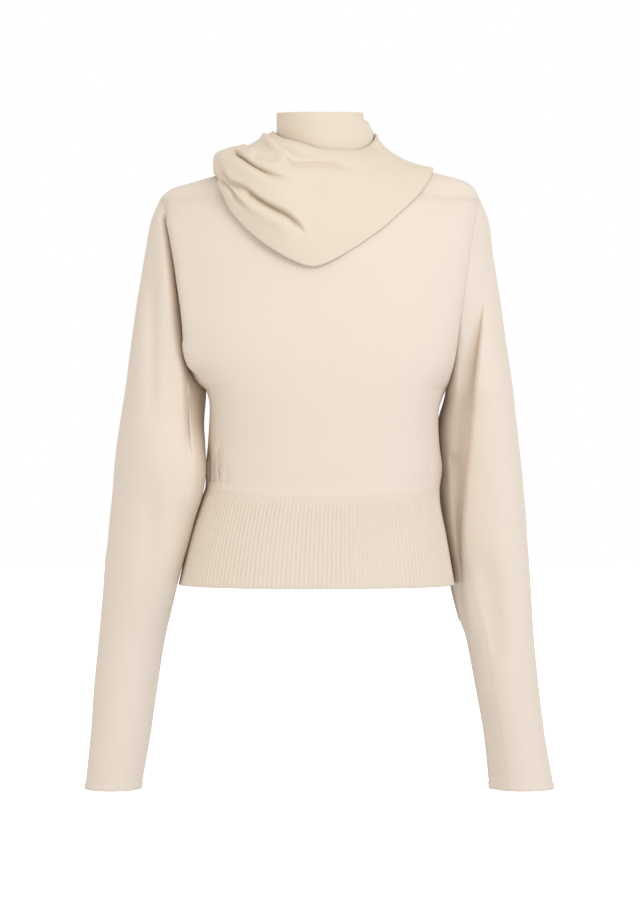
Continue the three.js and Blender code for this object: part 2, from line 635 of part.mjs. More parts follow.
// The neck tube, from the neckline up to its top.
function neckTube() {
  const count = 4 * NECK_COLUMNS;
  const rows = [];
  for (let row = 0; row <= TUBE_ROWS; row++) {
    rows.push(Array.from({ length: count }, (_, i) => {
      const turn = (i / count) * 2 * Math.PI;
      const top = NECK_TUBE.top - NECK_TUBE.frontDip * Math.max(0, Math.cos(turn));
      return neckPoint(turn, lerp(necklineHeight(turn), top, row / TUBE_ROWS));
    }));
  }
  const piece = patch(rows, true);
  return wall(rows, moved(piece, -CLOTH), true);
}

// The cowl's columns, in degrees from the front to the wearer's left.
function cowlAngles() {
  const { angle, amount } = COWL_DENSITY;
  return Array.from({ length: COWL_SIDES }, (_, i) => {
    const turn = (i / COWL_SIDES) * 2 * Math.PI;
    const shift = amount * Math.sin(turn - degToRad(angle));
    return THREE.MathUtils.radToDeg(turn - shift);
  });
}

const aroundNeck = (angle, reach, z) => {
  const turn = degToRad(angle);
  return new THREE.Vector3(reach * Math.sin(turn), NECK_TUBE.y - reach * Math.cos(turn), z);
};

// A point of the cowl before its folds, between its rim and its edge.
function cowlPoint(angle, t) {
  const bezier = (a, b, c, d) => {
    const s = 1 - t;
    return a * s ** 3 + 3 * b * t * s * s + 3 * c * t * t * s + d * t ** 3;
  };
  const at = (angle + 360) % 360;
  const reach = bezier(cowl.rim(at), cowl.high(at), cowl.low(at), cowlEdge.reach(at));
  const z = bezier(cowl.rimHeight(at), cowl.highHeight(at), cowl.lowHeight(at), cowlEdge.height(at));
  return aroundNeck(angle, reach, z);
}

function insideBody({ x, y, z }) {
  const face = y < SHOULDER_SEAM_Y ? "front" : "back";
  const right = armhole.right(-z);
  const across = clamp((2 * (x + right)) / (right + armhole.left(-z)) - 1, -1, 1);
  const thick = Math.abs(bodyPoint(face, across, z).y - SHOULDER_SEAM_Y);
  return z < topEdge(face, across).z && Math.abs(y - SHOULDER_SEAM_Y) < thick;
}

// Moves a point of the cowl off the body until its cloth rests there: up on the shoulders, and
// forwards or backwards below them.
function restOnBody(point, normal) {
  const under = point.clone().addScaledVector(normal, -COWL_CLOTH - COWL_CLEAR);
  const off = (point.y - SHOULDER_SEAM_Y) / SHOULDER_TOP;
  const rise = 1 - smoothstep(Math.abs(off), SHOULDER_FLAT, 1);
  const step = new THREE.Vector3(0, clamp(off, -1, 1), rise).setLength(CLEAR_STEP);
  while (insideBody(under)) {
    under.add(step);
    point.add(step);
  }
  return point;
}

function cowlWall() {
  const angles = cowlAngles();
  const rows = [];
  for (let row = COWL_ROWS; row >= 0; row--) {
    rows.push(angles.map((angle) => cowlPoint(angle, row / COWL_ROWS)));
  }
  for (const { below, gap } of [...COWL_TURN].reverse()) {
    rows.push(angles.map((angle) => {
      const z = cowl.rimHeight((angle + 360) % 360) - below;
      const tube = neckPoint(degToRad(angle), z);
      return aroundNeck(angle, Math.hypot(tube.x, tube.y - NECK_TUBE.y) + gap, z);
    }));
  }
  const plain = patch(rows, true);
  const folded = rows.map((line, row) => line.map((point, i) => {
    const start = smoothstep((COWL_ROWS - row) / COWL_ROWS, 0, COWL_FOLD_START);
    const behind = smoothstep(point.y, BEHIND.from, BEHIND.to);
    const front = foldDepth(cowlFolds.front, point);
    const back = foldDepth(cowlFolds.back, point);
    const normal = plain.normals[row][i];
    const pressed = point.clone().addScaledVector(normal, -start * lerp(front, back, behind));
    return row < COWL_ROWS ? restOnBody(pressed, normal) : pressed;
  }));
  const piece = patch(folded, true);
  return wall(folded, moved(piece, -COWL_CLOTH), true);
}

// Unit normals of a grid. They face out when its columns run anticlockwise from above and its rows up.
function gridNormals(rows, closed) {
  const count = rows[0].length;
  const near = (line, i) => line[closed ? (i + count) % count : clamp(i, 0, count - 1)];
  return rows.map((line, row) => line.map((_, i) => {
    const along = near(line, i + 1).clone().sub(near(line, i - 1));
    const above = rows[Math.min(row + 1, rows.length - 1)][i];
    const up = above.clone().sub(rows[Math.max(row - 1, 0)][i]);
    return along.cross(up).normalize();
  }));
}

// A grid with its normals, which the seams then change.
function patch(rows, closed) {
  return { rows, closed, normals: gridNormals(rows, closed) };
}

// The grid moved along its normals.
function moved({ rows, normals }, by) {
  return rows.map((line, row) => {
    return line.map((point, i) => point.clone().addScaledVector(normals[row][i], by));
  });
}

// Triangles between two edges that may have different numbers of points.
function strip(triangles, lower, upper, closed) {
  const low = closed ? [...lower, lower[0]] : lower;
  const high = closed ? [...upper, upper[0]] : upper;
  const lows = low.length - 1;
  const highs = high.length - 1;
  let i = 0;
  let j = 0;
  while (i < lows || j < highs) {
    if (j === highs || (i < lows && (i + 1) * highs <= (j + 1) * lows)) {
      triangles.push(low[i], low[i + 1], high[j]);
      i++;
    } else {
      triangles.push(low[i], high[j + 1], high[j]);
      j++;
    }
  }
}

// A closed wall between an outer grid and an inner one.
function wall(outer, inner, closed) {
  const positions = [];
  const triangles = [];
  const placed = (point) => positions.push(...point.toArray()) / 3 - 1;
  const place = (rows) => rows.map((line) => line.map(placed));
  const out = place(outer);
  const inn = place(inner);
  for (const [index, facesOut] of [[out, true], [inn, false]]) {
    for (let row = 0; row + 1 < index.length; row++) {
      const count = index[row].length;
      for (let i = 0; i < (closed ? count : count - 1); i++) {
        const next = (i + 1) % count;
        const quad = [index[row][i], index[row][next], index[row + 1][next], index[row + 1][i]];
        const [a, b, c, d] = facesOut ? quad : quad.reverse();
        triangles.push(a, b, c, a, c, d);
      }
    }
  }
  strip(triangles, inn[0], out[0], closed);
  strip(triangles, out.at(-1), inn.at(-1), closed);
  if (!closed) {
    const column = (index, i) => index.map((line) => line.at(i));
    strip(triangles, column(out, 0), column(inn, 0), false);
    strip(triangles, column(inn, -1), column(out, -1), false);
  }
  const geometry = new THREE.BufferGeometry();
  geometry.setAttribute("position", new THREE.Float32BufferAttribute(positions, 3));
  geometry.setIndex(triangles);
  geometry.computeVertexNormals();
  return geometry;
}

// Joins two edges: both take the same normals there and move apart by the seam's gap. left is the
// piece on the left of the edge, seen from outside with the edge running up.
function seam(left, leftEdge, right, rightEdge) {
  const points = leftEdge.map(([row, i]) => left.rows[row][i].clone());
  leftEdge.forEach(([rowL, iL], k) => {
    const [rowR, iR] = rightEdge[k];
    const normal = left.normals[rowL][iL].clone().add(right.normals[rowR][iR]).normalize();
    const before = points[Math.max(k - 1, 0)];
    const after = points[Math.min(k + 1, points.length - 1)];
    const sideways = after.clone().sub(before).cross(normal).normalize();
    left.rows[rowL][iL].addScaledVector(sideways, -SEAM_GAP / 2);
    right.rows[rowR][iR].addScaledVector(sideways, SEAM_GAP / 2);
    left.normals[rowL][iL].copy(normal);
    right.normals[rowR][iR].copy(normal);
  });
}

// Front, back and sleeves, joined at their seams.
function shell() {
  const turned = (rows) => rows.map((line) => [...line].reverse());
  const front = patch(bodyGrid("front"), false);
  const back = patch(turned(bodyGrid("back")), false);
  const right = patch(sleeveGrid("right"), true);
  const left = patch(turned(sleeveGrid("left")), true);
  const lastColumn = front.rows[0].length - 1;
  const topRow = front.rows.length - 1;
  for (const [piece, sign] of [[front, -1], [back, 1]]) {
    for (let i = 0; i <= lastColumn; i++) {
      piece.normals[0][i].setZ(0).normalize();
      const top = piece.normals[topRow][i];
      if (onNeckline(piece.rows[topRow][i].x)) {
        top.set(0, 0, 1);
      } else {
        top.setY(0).normalize();
        piece.rows[topRow][i].y += (sign * SEAM_GAP) / 2;
      }
    }
    for (let row = 0; row <= LOWER_ROWS; row++) {
      for (const i of [0, lastColumn]) {
        piece.normals[row][i].setY(0).normalize();
        piece.rows[row][i].y += (sign * SEAM_GAP) / 2;
      }
    }
  }
  // The armholes' edges run up from the underarm. A sleeve's points are numbered from its outer side.
  const steps = Array.from({ length: UPPER_ROWS - 1 }, (_, i) => UPPER_ROWS - 1 - i);
  const bodyEdge = (column) => steps.map((step) => [topRow - step, column]);
  const sleeveEdge = (number) => steps.map((step) => [SLEEVE_RINGS, number(step)]);
  const last = SLEEVE_SIDES - 1;
  seam(right, sleeveEdge((step) => step), front, bodyEdge(0));
  seam(back, bodyEdge(lastColumn), right, sleeveEdge((step) => SLEEVE_SIDES - step));
  seam(left, sleeveEdge((step) => step - 1), back, bodyEdge(0));
  seam(front, bodyEdge(lastColumn), left, sleeveEdge((step) => last - step));
  // At both ends of an armhole the sleeve's point steps back from the front and the back.
  for (const [sleeve, numbers, frontColumn, outward] of [
    [right, [0, UPPER_ROWS], 0, -1],
    [left, [last, last - UPPER_ROWS], lastColumn, 1],
  ]) {
    const [tip, underarm] = numbers;
    const backColumn = lastColumn - frontColumn;
    for (const number of numbers) {
      const point = sleeve.rows[SLEEVE_RINGS][number];
      const away = sleeve.rows[SLEEVE_RINGS - 1][number].clone().sub(point).normalize();
      point.addScaledVector(away, 2 * SEAM_GAP);
    }
    const tipNormals = [front.normals[topRow][frontColumn], back.normals[topRow][backColumn]];
    const shared = tipNormals[0].clone().add(tipNormals[1]).setY(0).normalize();
    for (const normal of [...tipNormals, sleeve.normals[SLEEVE_RINGS][tip]]) normal.copy(shared);
    const fork = new THREE.Vector3(outward, 0, -1).normalize();
    front.normals[LOWER_ROWS][frontColumn].copy(fork);
    back.normals[LOWER_ROWS][backColumn].copy(fork);
    sleeve.normals[SLEEVE_RINGS][underarm].set(-fork.x, 0, fork.z);
  }
  return { front, back, right, left };
}

const garment = new THREE.Group();

function add(name, geometry, color) {
  const material = new THREE.MeshStandardMaterial({ color, roughness: 0.95, metalness: 0 });
  const mesh = new THREE.Mesh(geometry, material);
  mesh.name = name;
  garment.add(mesh);
}

const pieces = shell();
const plainWall = (piece) => wall(piece.rows, moved(piece, -CLOTH), piece.closed);
add("front_panel", plainWall(pieces.front), COLOURS.body);
add("back_panel", plainWall(pieces.back), COLOURS.body);
add("sleeve_right", plainWall(pieces.right), COLOURS.body);
add("sleeve_left", plainWall(pieces.left), COLOURS.body);
add("waistband_front", bandHalf("front"), COLOURS.rib);
add("waistband_back", bandHalf("back"), COLOURS.rib);
add("neck_tube", neckTube(), COLOURS.neck);
add("draped_cowl", cowlWall(), COLOURS.cowl);

export default garment;
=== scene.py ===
"""A cream knit top with a draped cowl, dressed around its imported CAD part.

The tables give sizes in millimetres, as a pattern cutter notes them, and the meshes are in metres.
+Z is up, the front faces -Y, and the wearer's right is at -X. "drop" is a distance below the
origin, which is at the middle of the neck, level with the shoulders that carry the garment.
"""

import logging
import math
from dataclasses import dataclass, field
from enum import Enum

import bpy
import numpy as np
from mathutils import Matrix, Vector
from numpy.typing import NDArray


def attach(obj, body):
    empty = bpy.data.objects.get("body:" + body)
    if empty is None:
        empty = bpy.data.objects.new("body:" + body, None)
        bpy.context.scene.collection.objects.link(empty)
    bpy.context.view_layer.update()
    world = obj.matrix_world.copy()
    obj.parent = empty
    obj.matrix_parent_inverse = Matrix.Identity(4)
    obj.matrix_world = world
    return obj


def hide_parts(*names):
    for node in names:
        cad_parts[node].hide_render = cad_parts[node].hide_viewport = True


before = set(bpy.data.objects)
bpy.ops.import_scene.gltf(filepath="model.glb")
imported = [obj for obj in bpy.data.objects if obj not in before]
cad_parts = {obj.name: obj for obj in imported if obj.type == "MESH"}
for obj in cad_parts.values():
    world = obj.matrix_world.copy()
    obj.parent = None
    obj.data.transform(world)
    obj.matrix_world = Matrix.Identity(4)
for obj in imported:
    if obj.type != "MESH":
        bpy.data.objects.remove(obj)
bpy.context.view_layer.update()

Array = NDArray[np.float64]
MM = 0.001
HAIR = 1e-6  # keeps what lies on a line on the right side of it
log = logging.getLogger("knit_top")


class Named(Enum):
    """A choice whose name is a column of the tables."""

    @property
    def column(self) -> str:
        """Name of the column."""
        return self.name.lower()


class Side(Named):
    """The wearer's side, by its place along X."""

    RIGHT = -1
    LEFT = 1


class Face(Named):
    """The front or the back, by its place along Y."""

    FRONT = -1
    BACK = 1


class Rim(Enum):
    """How an edge of the cloth is finished."""

    SEWN = "meets its neighbour at a seam"
    TURNED = "rounded over as a free edge"


def smoothstep(value: Array, low: float, high: float) -> Array:
    """Rises smoothly from 0 at low to 1 at high."""
    share = np.clip((np.asarray(value, float) - low) / (high - low), 0.0, 1.0)
    return share * share * (3.0 - 2.0 * share)


def lerp(start: Array, end: Array, share: Array) -> Array:
    """Mixes two values, start at share 0 and end at share 1."""
    return start + (end - start) * share


def hermite(t: Array, start: Array, end: Array, slope: Array, end_slope: Array) -> Array:
    """Joins two values by a cubic curve with the slopes given at its ends, for t from 0 to 1."""
    kept = (1 + 2 * t) * (1 - t) ** 2
    return kept * start + (1 - kept) * end + t * (1 - t) ** 2 * slope + t * t * (t - 1) * end_slope


def unit(vectors: Array) -> Array:
    """Scales vectors along the last axis to length 1."""
    return vectors / np.maximum(np.linalg.norm(vectors, axis=-1, keepdims=True), 1e-12)


def turns(count: int) -> Array:
    """Angles in radians round a ring, from behind, where the knit's join doesn't show."""
    return (np.arange(count) / count + 0.5) % 1 * 2 * math.pi


def add_object(name: str, data: bpy.types.ID) -> bpy.types.Object:
    """Makes an object of a mesh, light or camera and links it to the scene."""
    made = bpy.data.objects.new(name, data)
    bpy.context.scene.collection.objects.link(made)
    return made


@dataclass(frozen=True)
class Table:
    """Columns of sizes against a first column, joined by smooth curves.

    Attributes:
        names: The columns' names, the key column first.
        rows: One row per section.
        turn: Length of a full turn where the table closes on itself, or 0.
    """

    names: str
    rows: tuple[tuple[float, ...], ...]
    turn: float = 0.0

    def at(self, name: str, where: Array) -> Array:
        """Reads a column between its rows, level past both ends.

        Args:
            name: The column's name.
            where: Values of the key column.

        Returns:
            The column's values there.
        """
        data = np.array(self.rows, float)
        where = np.asarray(where, float)
        if self.turn:
            step = np.zeros(data.shape[1])
            step[0] = self.turn
            data = np.vstack([data[-2:] - step, data, data[:2] + step])
            where = np.mod(where, self.turn)
        key, value = data[:, 0], data[:, self.names.split().index(name)]
        row = np.arange(len(key))
        before, after = np.maximum(row - 1, 0), np.minimum(row + 1, row[-1])
        slope = (value[after] - value[before]) / (key[after] - key[before])
        i = np.clip(np.searchsorted(key, where, side="right") - 1, 0, len(key) - 2)
        span = key[i + 1] - key[i]
        t = np.clip((where - key[i]) / span, 0.0, 1.0)
        return hermite(t, value[i], value[i + 1], span * slope[i], span * slope[i + 1])


def table(names: str, *rows: tuple[float, ...], turn: float = 0.0) -> Table:
    """A table from its columns' names and its rows."""
    return Table(names, rows, turn)


PATH_STEPS = 48
FOLD_REACH = 3.5  # a fold has died away this many times its width from its path
LIP_SPREAD = 6.0  # a lip takes up cloth over this many times its own lean
VIEW_DISTANCE = 3200.0  # folds are placed as seen from here, where the photograph was taken
VIEW_DROP = 326.0


@dataclass(frozen=True)
class Fold:
    """A soft trough along a path, as seen from straight in front.

    Attributes:
        path: Points as (x, drop).
        depth: How deep the trough is. A ridge has a depth under 0.
        left: Its reach to the left of someone who walks the path.
        right: Its reach to their right.
        begins: Share of the path over which it begins.
        ends: Share of the path over which it ends.
        lip: How far the cloth on the left leans over the trough.
    """

    path: tuple[tuple[float, float], ...]
    depth: float
    left: float
    right: float
    begins: float = 0.3
    ends: float = 0.3
    lip: float = 0.0

    def line(self) -> Array:
        """Points along the path, evenly spaced, as x and z.

        Returns:
            The points.
        """
        knots = np.array([(x, -drop) for x, drop in self.path], float)
        ends = (2 * knots[0] - knots[1], 2 * knots[-1] - knots[-2])
        knots = np.vstack([ends[0], knots, ends[1]])
        fine = []
        for i in range(1, len(knots) - 2):
            p0, p1, p2, p3 = knots[i - 1 : i + 3]
            d = [math.sqrt(np.linalg.norm(b - a)) for a, b in ((p0, p1), (p1, p2), (p2, p3))]
            m1 = ((p1 - p0) / d[0] - (p2 - p0) / (d[0] + d[1]) + (p2 - p1) / d[1]) * d[1]
            m2 = ((p2 - p1) / d[1] - (p3 - p1) / (d[1] + d[2]) + (p3 - p2) / d[2]) * d[1]
            t = np.linspace(0, 1, PATH_STEPS, endpoint=False)[:, None]
            fine.append(hermite(t, p1, p2, m1, m2))
        fine = np.vstack([*fine, knots[-2:-1]])
        along = np.concatenate([[0], np.cumsum(np.linalg.norm(np.diff(fine, axis=0), axis=1))])
        even = np.linspace(0, along[-1], PATH_STEPS + 1)
        return np.column_stack([np.interp(even, along, fine[:, k]) for k in range(2)])

    def press(self, x: Array, z: Array) -> Array:
        """How the fold moves the cloth.

        Args:
            x: Places across the picture plane.
            z: Heights in the picture plane.

        Returns:
            For each place how far it goes in, to the right and up.
        """
        line = self.line()
        margin = FOLD_REACH * max(self.left, self.right) + LIP_SPREAD * self.lip
        low = line.min(axis=0) - margin
        high = line.max(axis=0) + margin
        near = (x > low[0]) & (x < high[0]) & (z > low[1]) & (z < high[1])
        moved = np.zeros((*np.shape(x), 3))
        if not near.any():
            return moved
        point = np.stack([x[near], z[near]], axis=-1)[:, None, :]
        start = line[:-1]
        step = line[1:] - start
        away = point - start
        t = np.clip((away * step).sum(-1) / (step * step).sum(-1), 0, 1)
        gap = np.linalg.norm(away - t[..., None] * step, axis=-1)
        best = np.argmin(gap, axis=1)
        rows = np.arange(len(best))
        cross = step[best, 0] * away[rows, best, 1] - step[best, 1] * away[rows, best, 0]
        width = np.where(cross > 0, self.left, self.right)
        along = (best + t[rows, best]) / PATH_STEPS
        off = gap[rows, best]
        strength = np.ones(len(best))
        if self.begins > 0:
            strength *= smoothstep(along, 0, self.begins)
        if self.ends > 0:
            strength *= 1 - smoothstep(along, 1 - self.ends, 1)
        moved[near, 0] = self.depth * strength * np.exp(-((off / width) ** 2))
        if self.lip > 0:
            beyond = np.maximum(off - self.left, 0) / (LIP_SPREAD / 2 * self.lip)
            lean = self.lip * strength * smoothstep(off, 0, self.left) * np.exp(-(beyond**2)) * (cross > 0)
            way = unit(step)[best]
            moved[near, 1] = way[:, 1] * lean
            moved[near, 2] = -way[:, 0] * lean
        return moved


def press_folds(folds: tuple[Fold, ...], points: Array) -> Array:
    """How the folds move the cloth at points of the garment.

    Args:
        folds: The folds.
        points: Points in millimetres.

    Returns:
        For each point how far it goes in, to the right and up.
    """
    nearer = VIEW_DISTANCE / (VIEW_DISTANCE + points[..., 1])
    x = points[..., 0] * nearer
    z = (points[..., 2] + VIEW_DROP) * nearer - VIEW_DROP
    return sum(fold.press(x, z) for fold in folds)


@dataclass
class Grid:
    """A sheet of cloth as rows of points, with the way that each point faces.

    Columns run anticlockwise seen from above and rows run up, so that the sheet faces outwards.

    Attributes:
        points: Points in millimetres, by row and column.
        closed: True where the last column joins the first.
        normals: The way that each point faces.
    """

    points: Array
    closed: bool = False
    normals: Array = field(init=False)

    def __post_init__(self) -> None:
        """Works out the normals from the points."""
        p = self.points
        if self.closed:
            along = np.roll(p, -1, axis=1) - np.roll(p, 1, axis=1)
        else:
            along = p[:, np.r_[1 : p.shape[1], -1]] - p[:, np.r_[0, 0 : p.shape[1] - 1]]
        up = p[np.r_[1 : p.shape[0], -1]] - p[np.r_[0, 0 : p.shape[0] - 1]]
        self.normals = unit(np.cross(along, up))

    def turned_round(self) -> "Grid":
        """The same sheet with its columns in the other order."""
        return Grid(self.points[:, ::-1].copy(), self.closed)


@dataclass(frozen=True)
class Form:
    """The garment's main form, the same sizes as its solids have.

    Attributes are lengths in millimetres unless their comment says otherwise.
    """

    shoulder_drop: float = 33
    shoulder_half: float = 187
    underarm_drop: float = 258
    waist_drop: float = 371
    waist_dip: float = 9
    hem_drop: float = 484
    cuff_drop: float = 723
    side_y: float = 2
    shoulder_y: float = 4
    neckline_half: float = 62
    neckline_height: float = 14
    front_depth: float = 60
    front_dip: float = 30
    back_depth: float = 58
    back_dip: float = 8
    chest_roll: float = 72
    roll_power: float = 6  # the roll keeps its height until close to the armholes
    roll_least: float = 1
    section_power: float = 2.3  # squareness of the body's section
    open_power: float = 1.15  # above the underarm the section runs on into the sleeve
    opens_over: float = 130
    groove_on_body: float = 3.5
    groove_on_sleeve: float = 8
    sleeve_blend: float = 120
    sleeve_flat: float = 0.35  # a sleeve's front is flatter towards the body
    right_flat_ends: tuple[float, float] = (300, 380)
    left_flat_ends: tuple[float, float] = (250, 310)
    fold_from: float = 3
    fold_full: float = 26
    depths: Table = table(
        "drop front back",
        (-10, 70, 64), (60, 86, 80), (110, 99, 90), (160, 106, 94), (215, 110, 92), (258, 109, 88),
        (320, 104, 83.5), (350, 102, 83), (371, 100, 82), (388, 100, 83.5), (430, 104, 93), (484, 112, 103),
    )
    shoulders: Table = table(
        "reach right left",
        (62, 14, 14), (122, -6, 0), (150, -14, -6.5), (172, -20.5, -13.5), (182, -27, -22), (187, -33, -33),
    )
    sides: Table = table(
        "drop right left",
        (258, 133, 147), (270, 129.5, 142), (284, 129, 138.5), (320, 131, 139.5), (350, 134, 143),
        (371, 134, 140), (388, 139, 139), (430, 152, 147), (484, 164, 156),
    )
    armhole: Table = table(
        "drop right left front back front_groove back_groove",
        (27, 187, 187, -5, 3, 0, 0),
        (33, 187, 187, -4, 4, 0, 0),
        (40, 182.5, 185, 12, 18, 3, 0),
        (66, 174.5, 179.5, 34, 39, 14, 3),
        (107, 167, 172.5, 50, 54, 20, 7),
        (146, 161.5, 166.5, 58, 61, 24, 10),
        (184, 157, 161, 60, 62, 24, 10),
        (225, 151, 155.5, 48, 50, 15, 5),
        (249, 142, 150, 22, 26, 4, 0),
        (258, 133, 147, -2, 2, 0, 0),
    )
    underarm: Table = table(
        "drop right left front back",
        (146, 161.5, 166.5, 58, 61),
        (184, 157, 161, 60, 62),
        (225, 149, 155, 51, 53),
        (258, 140, 149, 35, 37),
        (290, 133.5, 143.5, 17, 20),
        (320, 132, 141, 4, 8),
        (350, 134, 143, -2, 2),
    )
    edge_power: float = 12  # higher keeps the underarm's sharp turn closer to the edges
    right_sleeve: Table = table(
        "drop outer inner front back skew",
        (33, 187, 150, 24, 26, 0),
        (60, 198, 142, 40, 42, 0),
        (98, 205, 139, 50, 54, 0),
        (154, 214, 138, 57, 61, 2),
        (211, 222, 138, 60, 64, 4),
        (258, 228, 138, 60, 64, -6),
        (295, 234, 139, 58, 62, -14),
        (323, 238, 135.5, 56, 59, -24),
        (351, 241, 132.5, 52, 56, -32),
        (379, 243, 135.8, 48, 54, -34),
        (407, 246, 144.5, 45, 52, -31),
        (435, 248.5, 152, 43, 50, -30),
        (463, 252, 160, 42, 48, -28),
        (491, 254, 167, 41, 45, -22),
        (519, 256.5, 174, 40, 42, -12),
        (548, 259, 181, 38.5, 40, -4),
        (604, 264.5, 190, 36, 37, 0),
        (660, 268.5, 198, 34, 35, 0),
        (723, 275, 209, 32.5, 33.5, 0),
    )
    left_sleeve: Table = table(
        "drop outer inner front back skew",
        (33, 187, 150, 24, 26, 0),
        (60, 197.5, 146, 40, 42, 0),
        (98, 202.5, 145, 50, 54, 0),
        (154, 211, 146, 58, 61, 2),
        (211, 219, 148, 62, 64, 3),
        (258, 226, 147.5, 65, 62.5, 10),
        (272, 227.3, 145, 66.5, 60.5, 20),
        (288, 229, 140.5, 68, 57, 31),
        (305, 231, 137, 69, 54, 39),
        (351, 236, 137.5, 66, 48, 44),
        (379, 238.5, 138, 62, 46, 40),
        (407, 241, 141.5, 57, 45, 34),
        (435, 242.5, 146, 53, 43, 30),
        (463, 245, 151.5, 50, 41, 28),
        (491, 247, 156.5, 47, 40, 24),
        (519, 248.5, 163, 44, 39, 16),
        (548, 250.5, 171, 40.5, 38.5, 6),
        (604, 256, 181.5, 36, 37, 0),
        (660, 263, 191.5, 34, 35, 0),
        (723, 274, 198, 32.5, 33.5, 0),
    )

    def sleeve_table(self, side: Side) -> Table:
        """The table of one sleeve's sections."""
        return self.right_sleeve if side is Side.RIGHT else self.left_sleeve

    def armhole_point(self, side: Side, face: Face, drop: Array) -> Array:
        """Points of the armhole's edge, without its fold, at distances below the origin."""
        x, y = (way.value * self.armhole.at(way.column, drop) for way in (side, face))
        return np.stack([x, y, -np.asarray(drop, float)], axis=-1)

    def groove(self, side: Side, face: Face, drop: Array) -> Array:
        """How far the armhole's fold pulls the cloth in. The left one has none at the front."""
        folded = face is Face.BACK or side is Side.RIGHT
        return self.armhole.at(f"{face.column}_groove", drop) * folded

    def top_edge(self, face: Face, across: Array) -> Array:
        """The upper edge of the front or back: shoulder seams, with the neckline between them.

        Args:
            face: Front or back.
            across: Places from -1 at the right shoulder to 1 at the left.

        Returns:
            Points in millimetres.
        """
        x = np.asarray(across, float) * self.shoulder_half
        inside = np.abs(x) < self.neckline_half
        right, left = (self.shoulders.at(side.column, np.abs(x)) for side in Side)
        level = np.where(x < 0, right, left)
        arc = np.sqrt(np.clip(1 - (x / self.neckline_half) ** 2, 0, None))
        front = face is Face.FRONT
        depth, dip = (-self.front_depth, self.front_dip) if front else (self.back_depth, self.back_dip)
        y = self.shoulder_y + np.where(inside, depth * arc, 0)
        z = np.where(inside, self.neckline_height - dip * arc, level)
        return np.stack([x, y, z], axis=-1)

    def body_point(self, face: Face, across: Array, z: Array) -> Array:
        """A point of the body's rounded section, before its folds.

        Args:
            face: Front or back.
            across: Places from -1 at the wearer's right to 1 at the left.
            z: Heights.

        Returns:
            Points in millimetres.
        """
        across, z = np.broadcast_arrays(np.asarray(across, float), np.asarray(z, float))
        drop = -z
        above = drop < self.underarm_drop - HAIR
        blends = (drop > self.underarm.rows[0][0]) & (drop < self.underarm.rows[-1][0])
        at_edge = np.abs(across) ** self.edge_power
        reach, smooth = {}, {}
        for side in Side:
            name = side.column
            reach[side] = np.where(above, self.armhole.at(name, drop), self.sides.at(name, drop))
            smooth[side] = np.where(blends, self.underarm.at(name, drop), reach[side])
        x = lerp(-smooth[Side.RIGHT], smooth[Side.LEFT], (across + 1) / 2)
        for side in Side:
            here = np.sign(across) == side.value
            x = x + side.value * here * at_edge * (reach[side] - smooth[side])
        edge = np.where(above, face.value * self.armhole.at(face.column, drop), self.side_y)
        smooth_edge = np.where(blends, face.value * self.underarm.at(face.column, drop), edge)
        opened = smoothstep(drop, self.underarm_drop - self.opens_over, self.underarm_drop)
        power = lerp(self.open_power, self.section_power, opened)
        full = np.clip(1 - np.abs(across) ** self.section_power, 0, None) ** (1 / power)
        y = lerp(smooth_edge, face.value * self.depths.at(face.column, drop), full)
        y = y + at_edge * (edge - smooth_edge)
        top = self.top_edge(face, across)
        height = self.chest_roll * (1 - across**self.roll_power) + self.roll_least
        share = np.clip((top[..., 2] - z) / height, 0, 1)
        rolled = lerp(top[..., 1], y, np.sqrt(1 - (1 - share) ** 2))
        for side in Side:
            away = np.abs(x - self.armhole_point(side, face, drop)[..., 0])
            pull = self.groove(side, face, drop) * np.exp(-((away / self.groove_on_body) ** 2))
            rolled = rolled - face.value * pull
        return np.stack([x, np.where(above, rolled, y), z], axis=-1)

    def fold_in(self, points: Array, face: Face, folds: tuple[Fold, ...]) -> Array:
        """Presses folds towards the middle. They die away at the side lines.

        Args:
            points: Points in millimetres.
            face: Front or back.
            folds: The folds.

        Returns:
            The folded points.
        """
        full = smoothstep(np.abs(points[..., 1] - self.side_y), self.fold_from, self.fold_full)
        moved = press_folds(folds, points) * full[..., None]
        return points + np.stack([moved[..., 1], -face.value * moved[..., 0], moved[..., 2]], axis=-1)

    def waist_height(self, across: Array) -> Array:
        """Height of the waistband's top edge."""
        return -(self.waist_drop + self.waist_dip * (1 - np.asarray(across) ** 2))

    def neckline_at(self, turn: Array) -> Array:
        """Height of the neckline. turn runs in radians from the front to the wearer's left."""
        forward = np.cos(turn)
        dip = np.where(forward > 0, self.front_dip, self.back_dip)
        return self.neckline_height - dip * np.abs(forward)


FORM = Form()


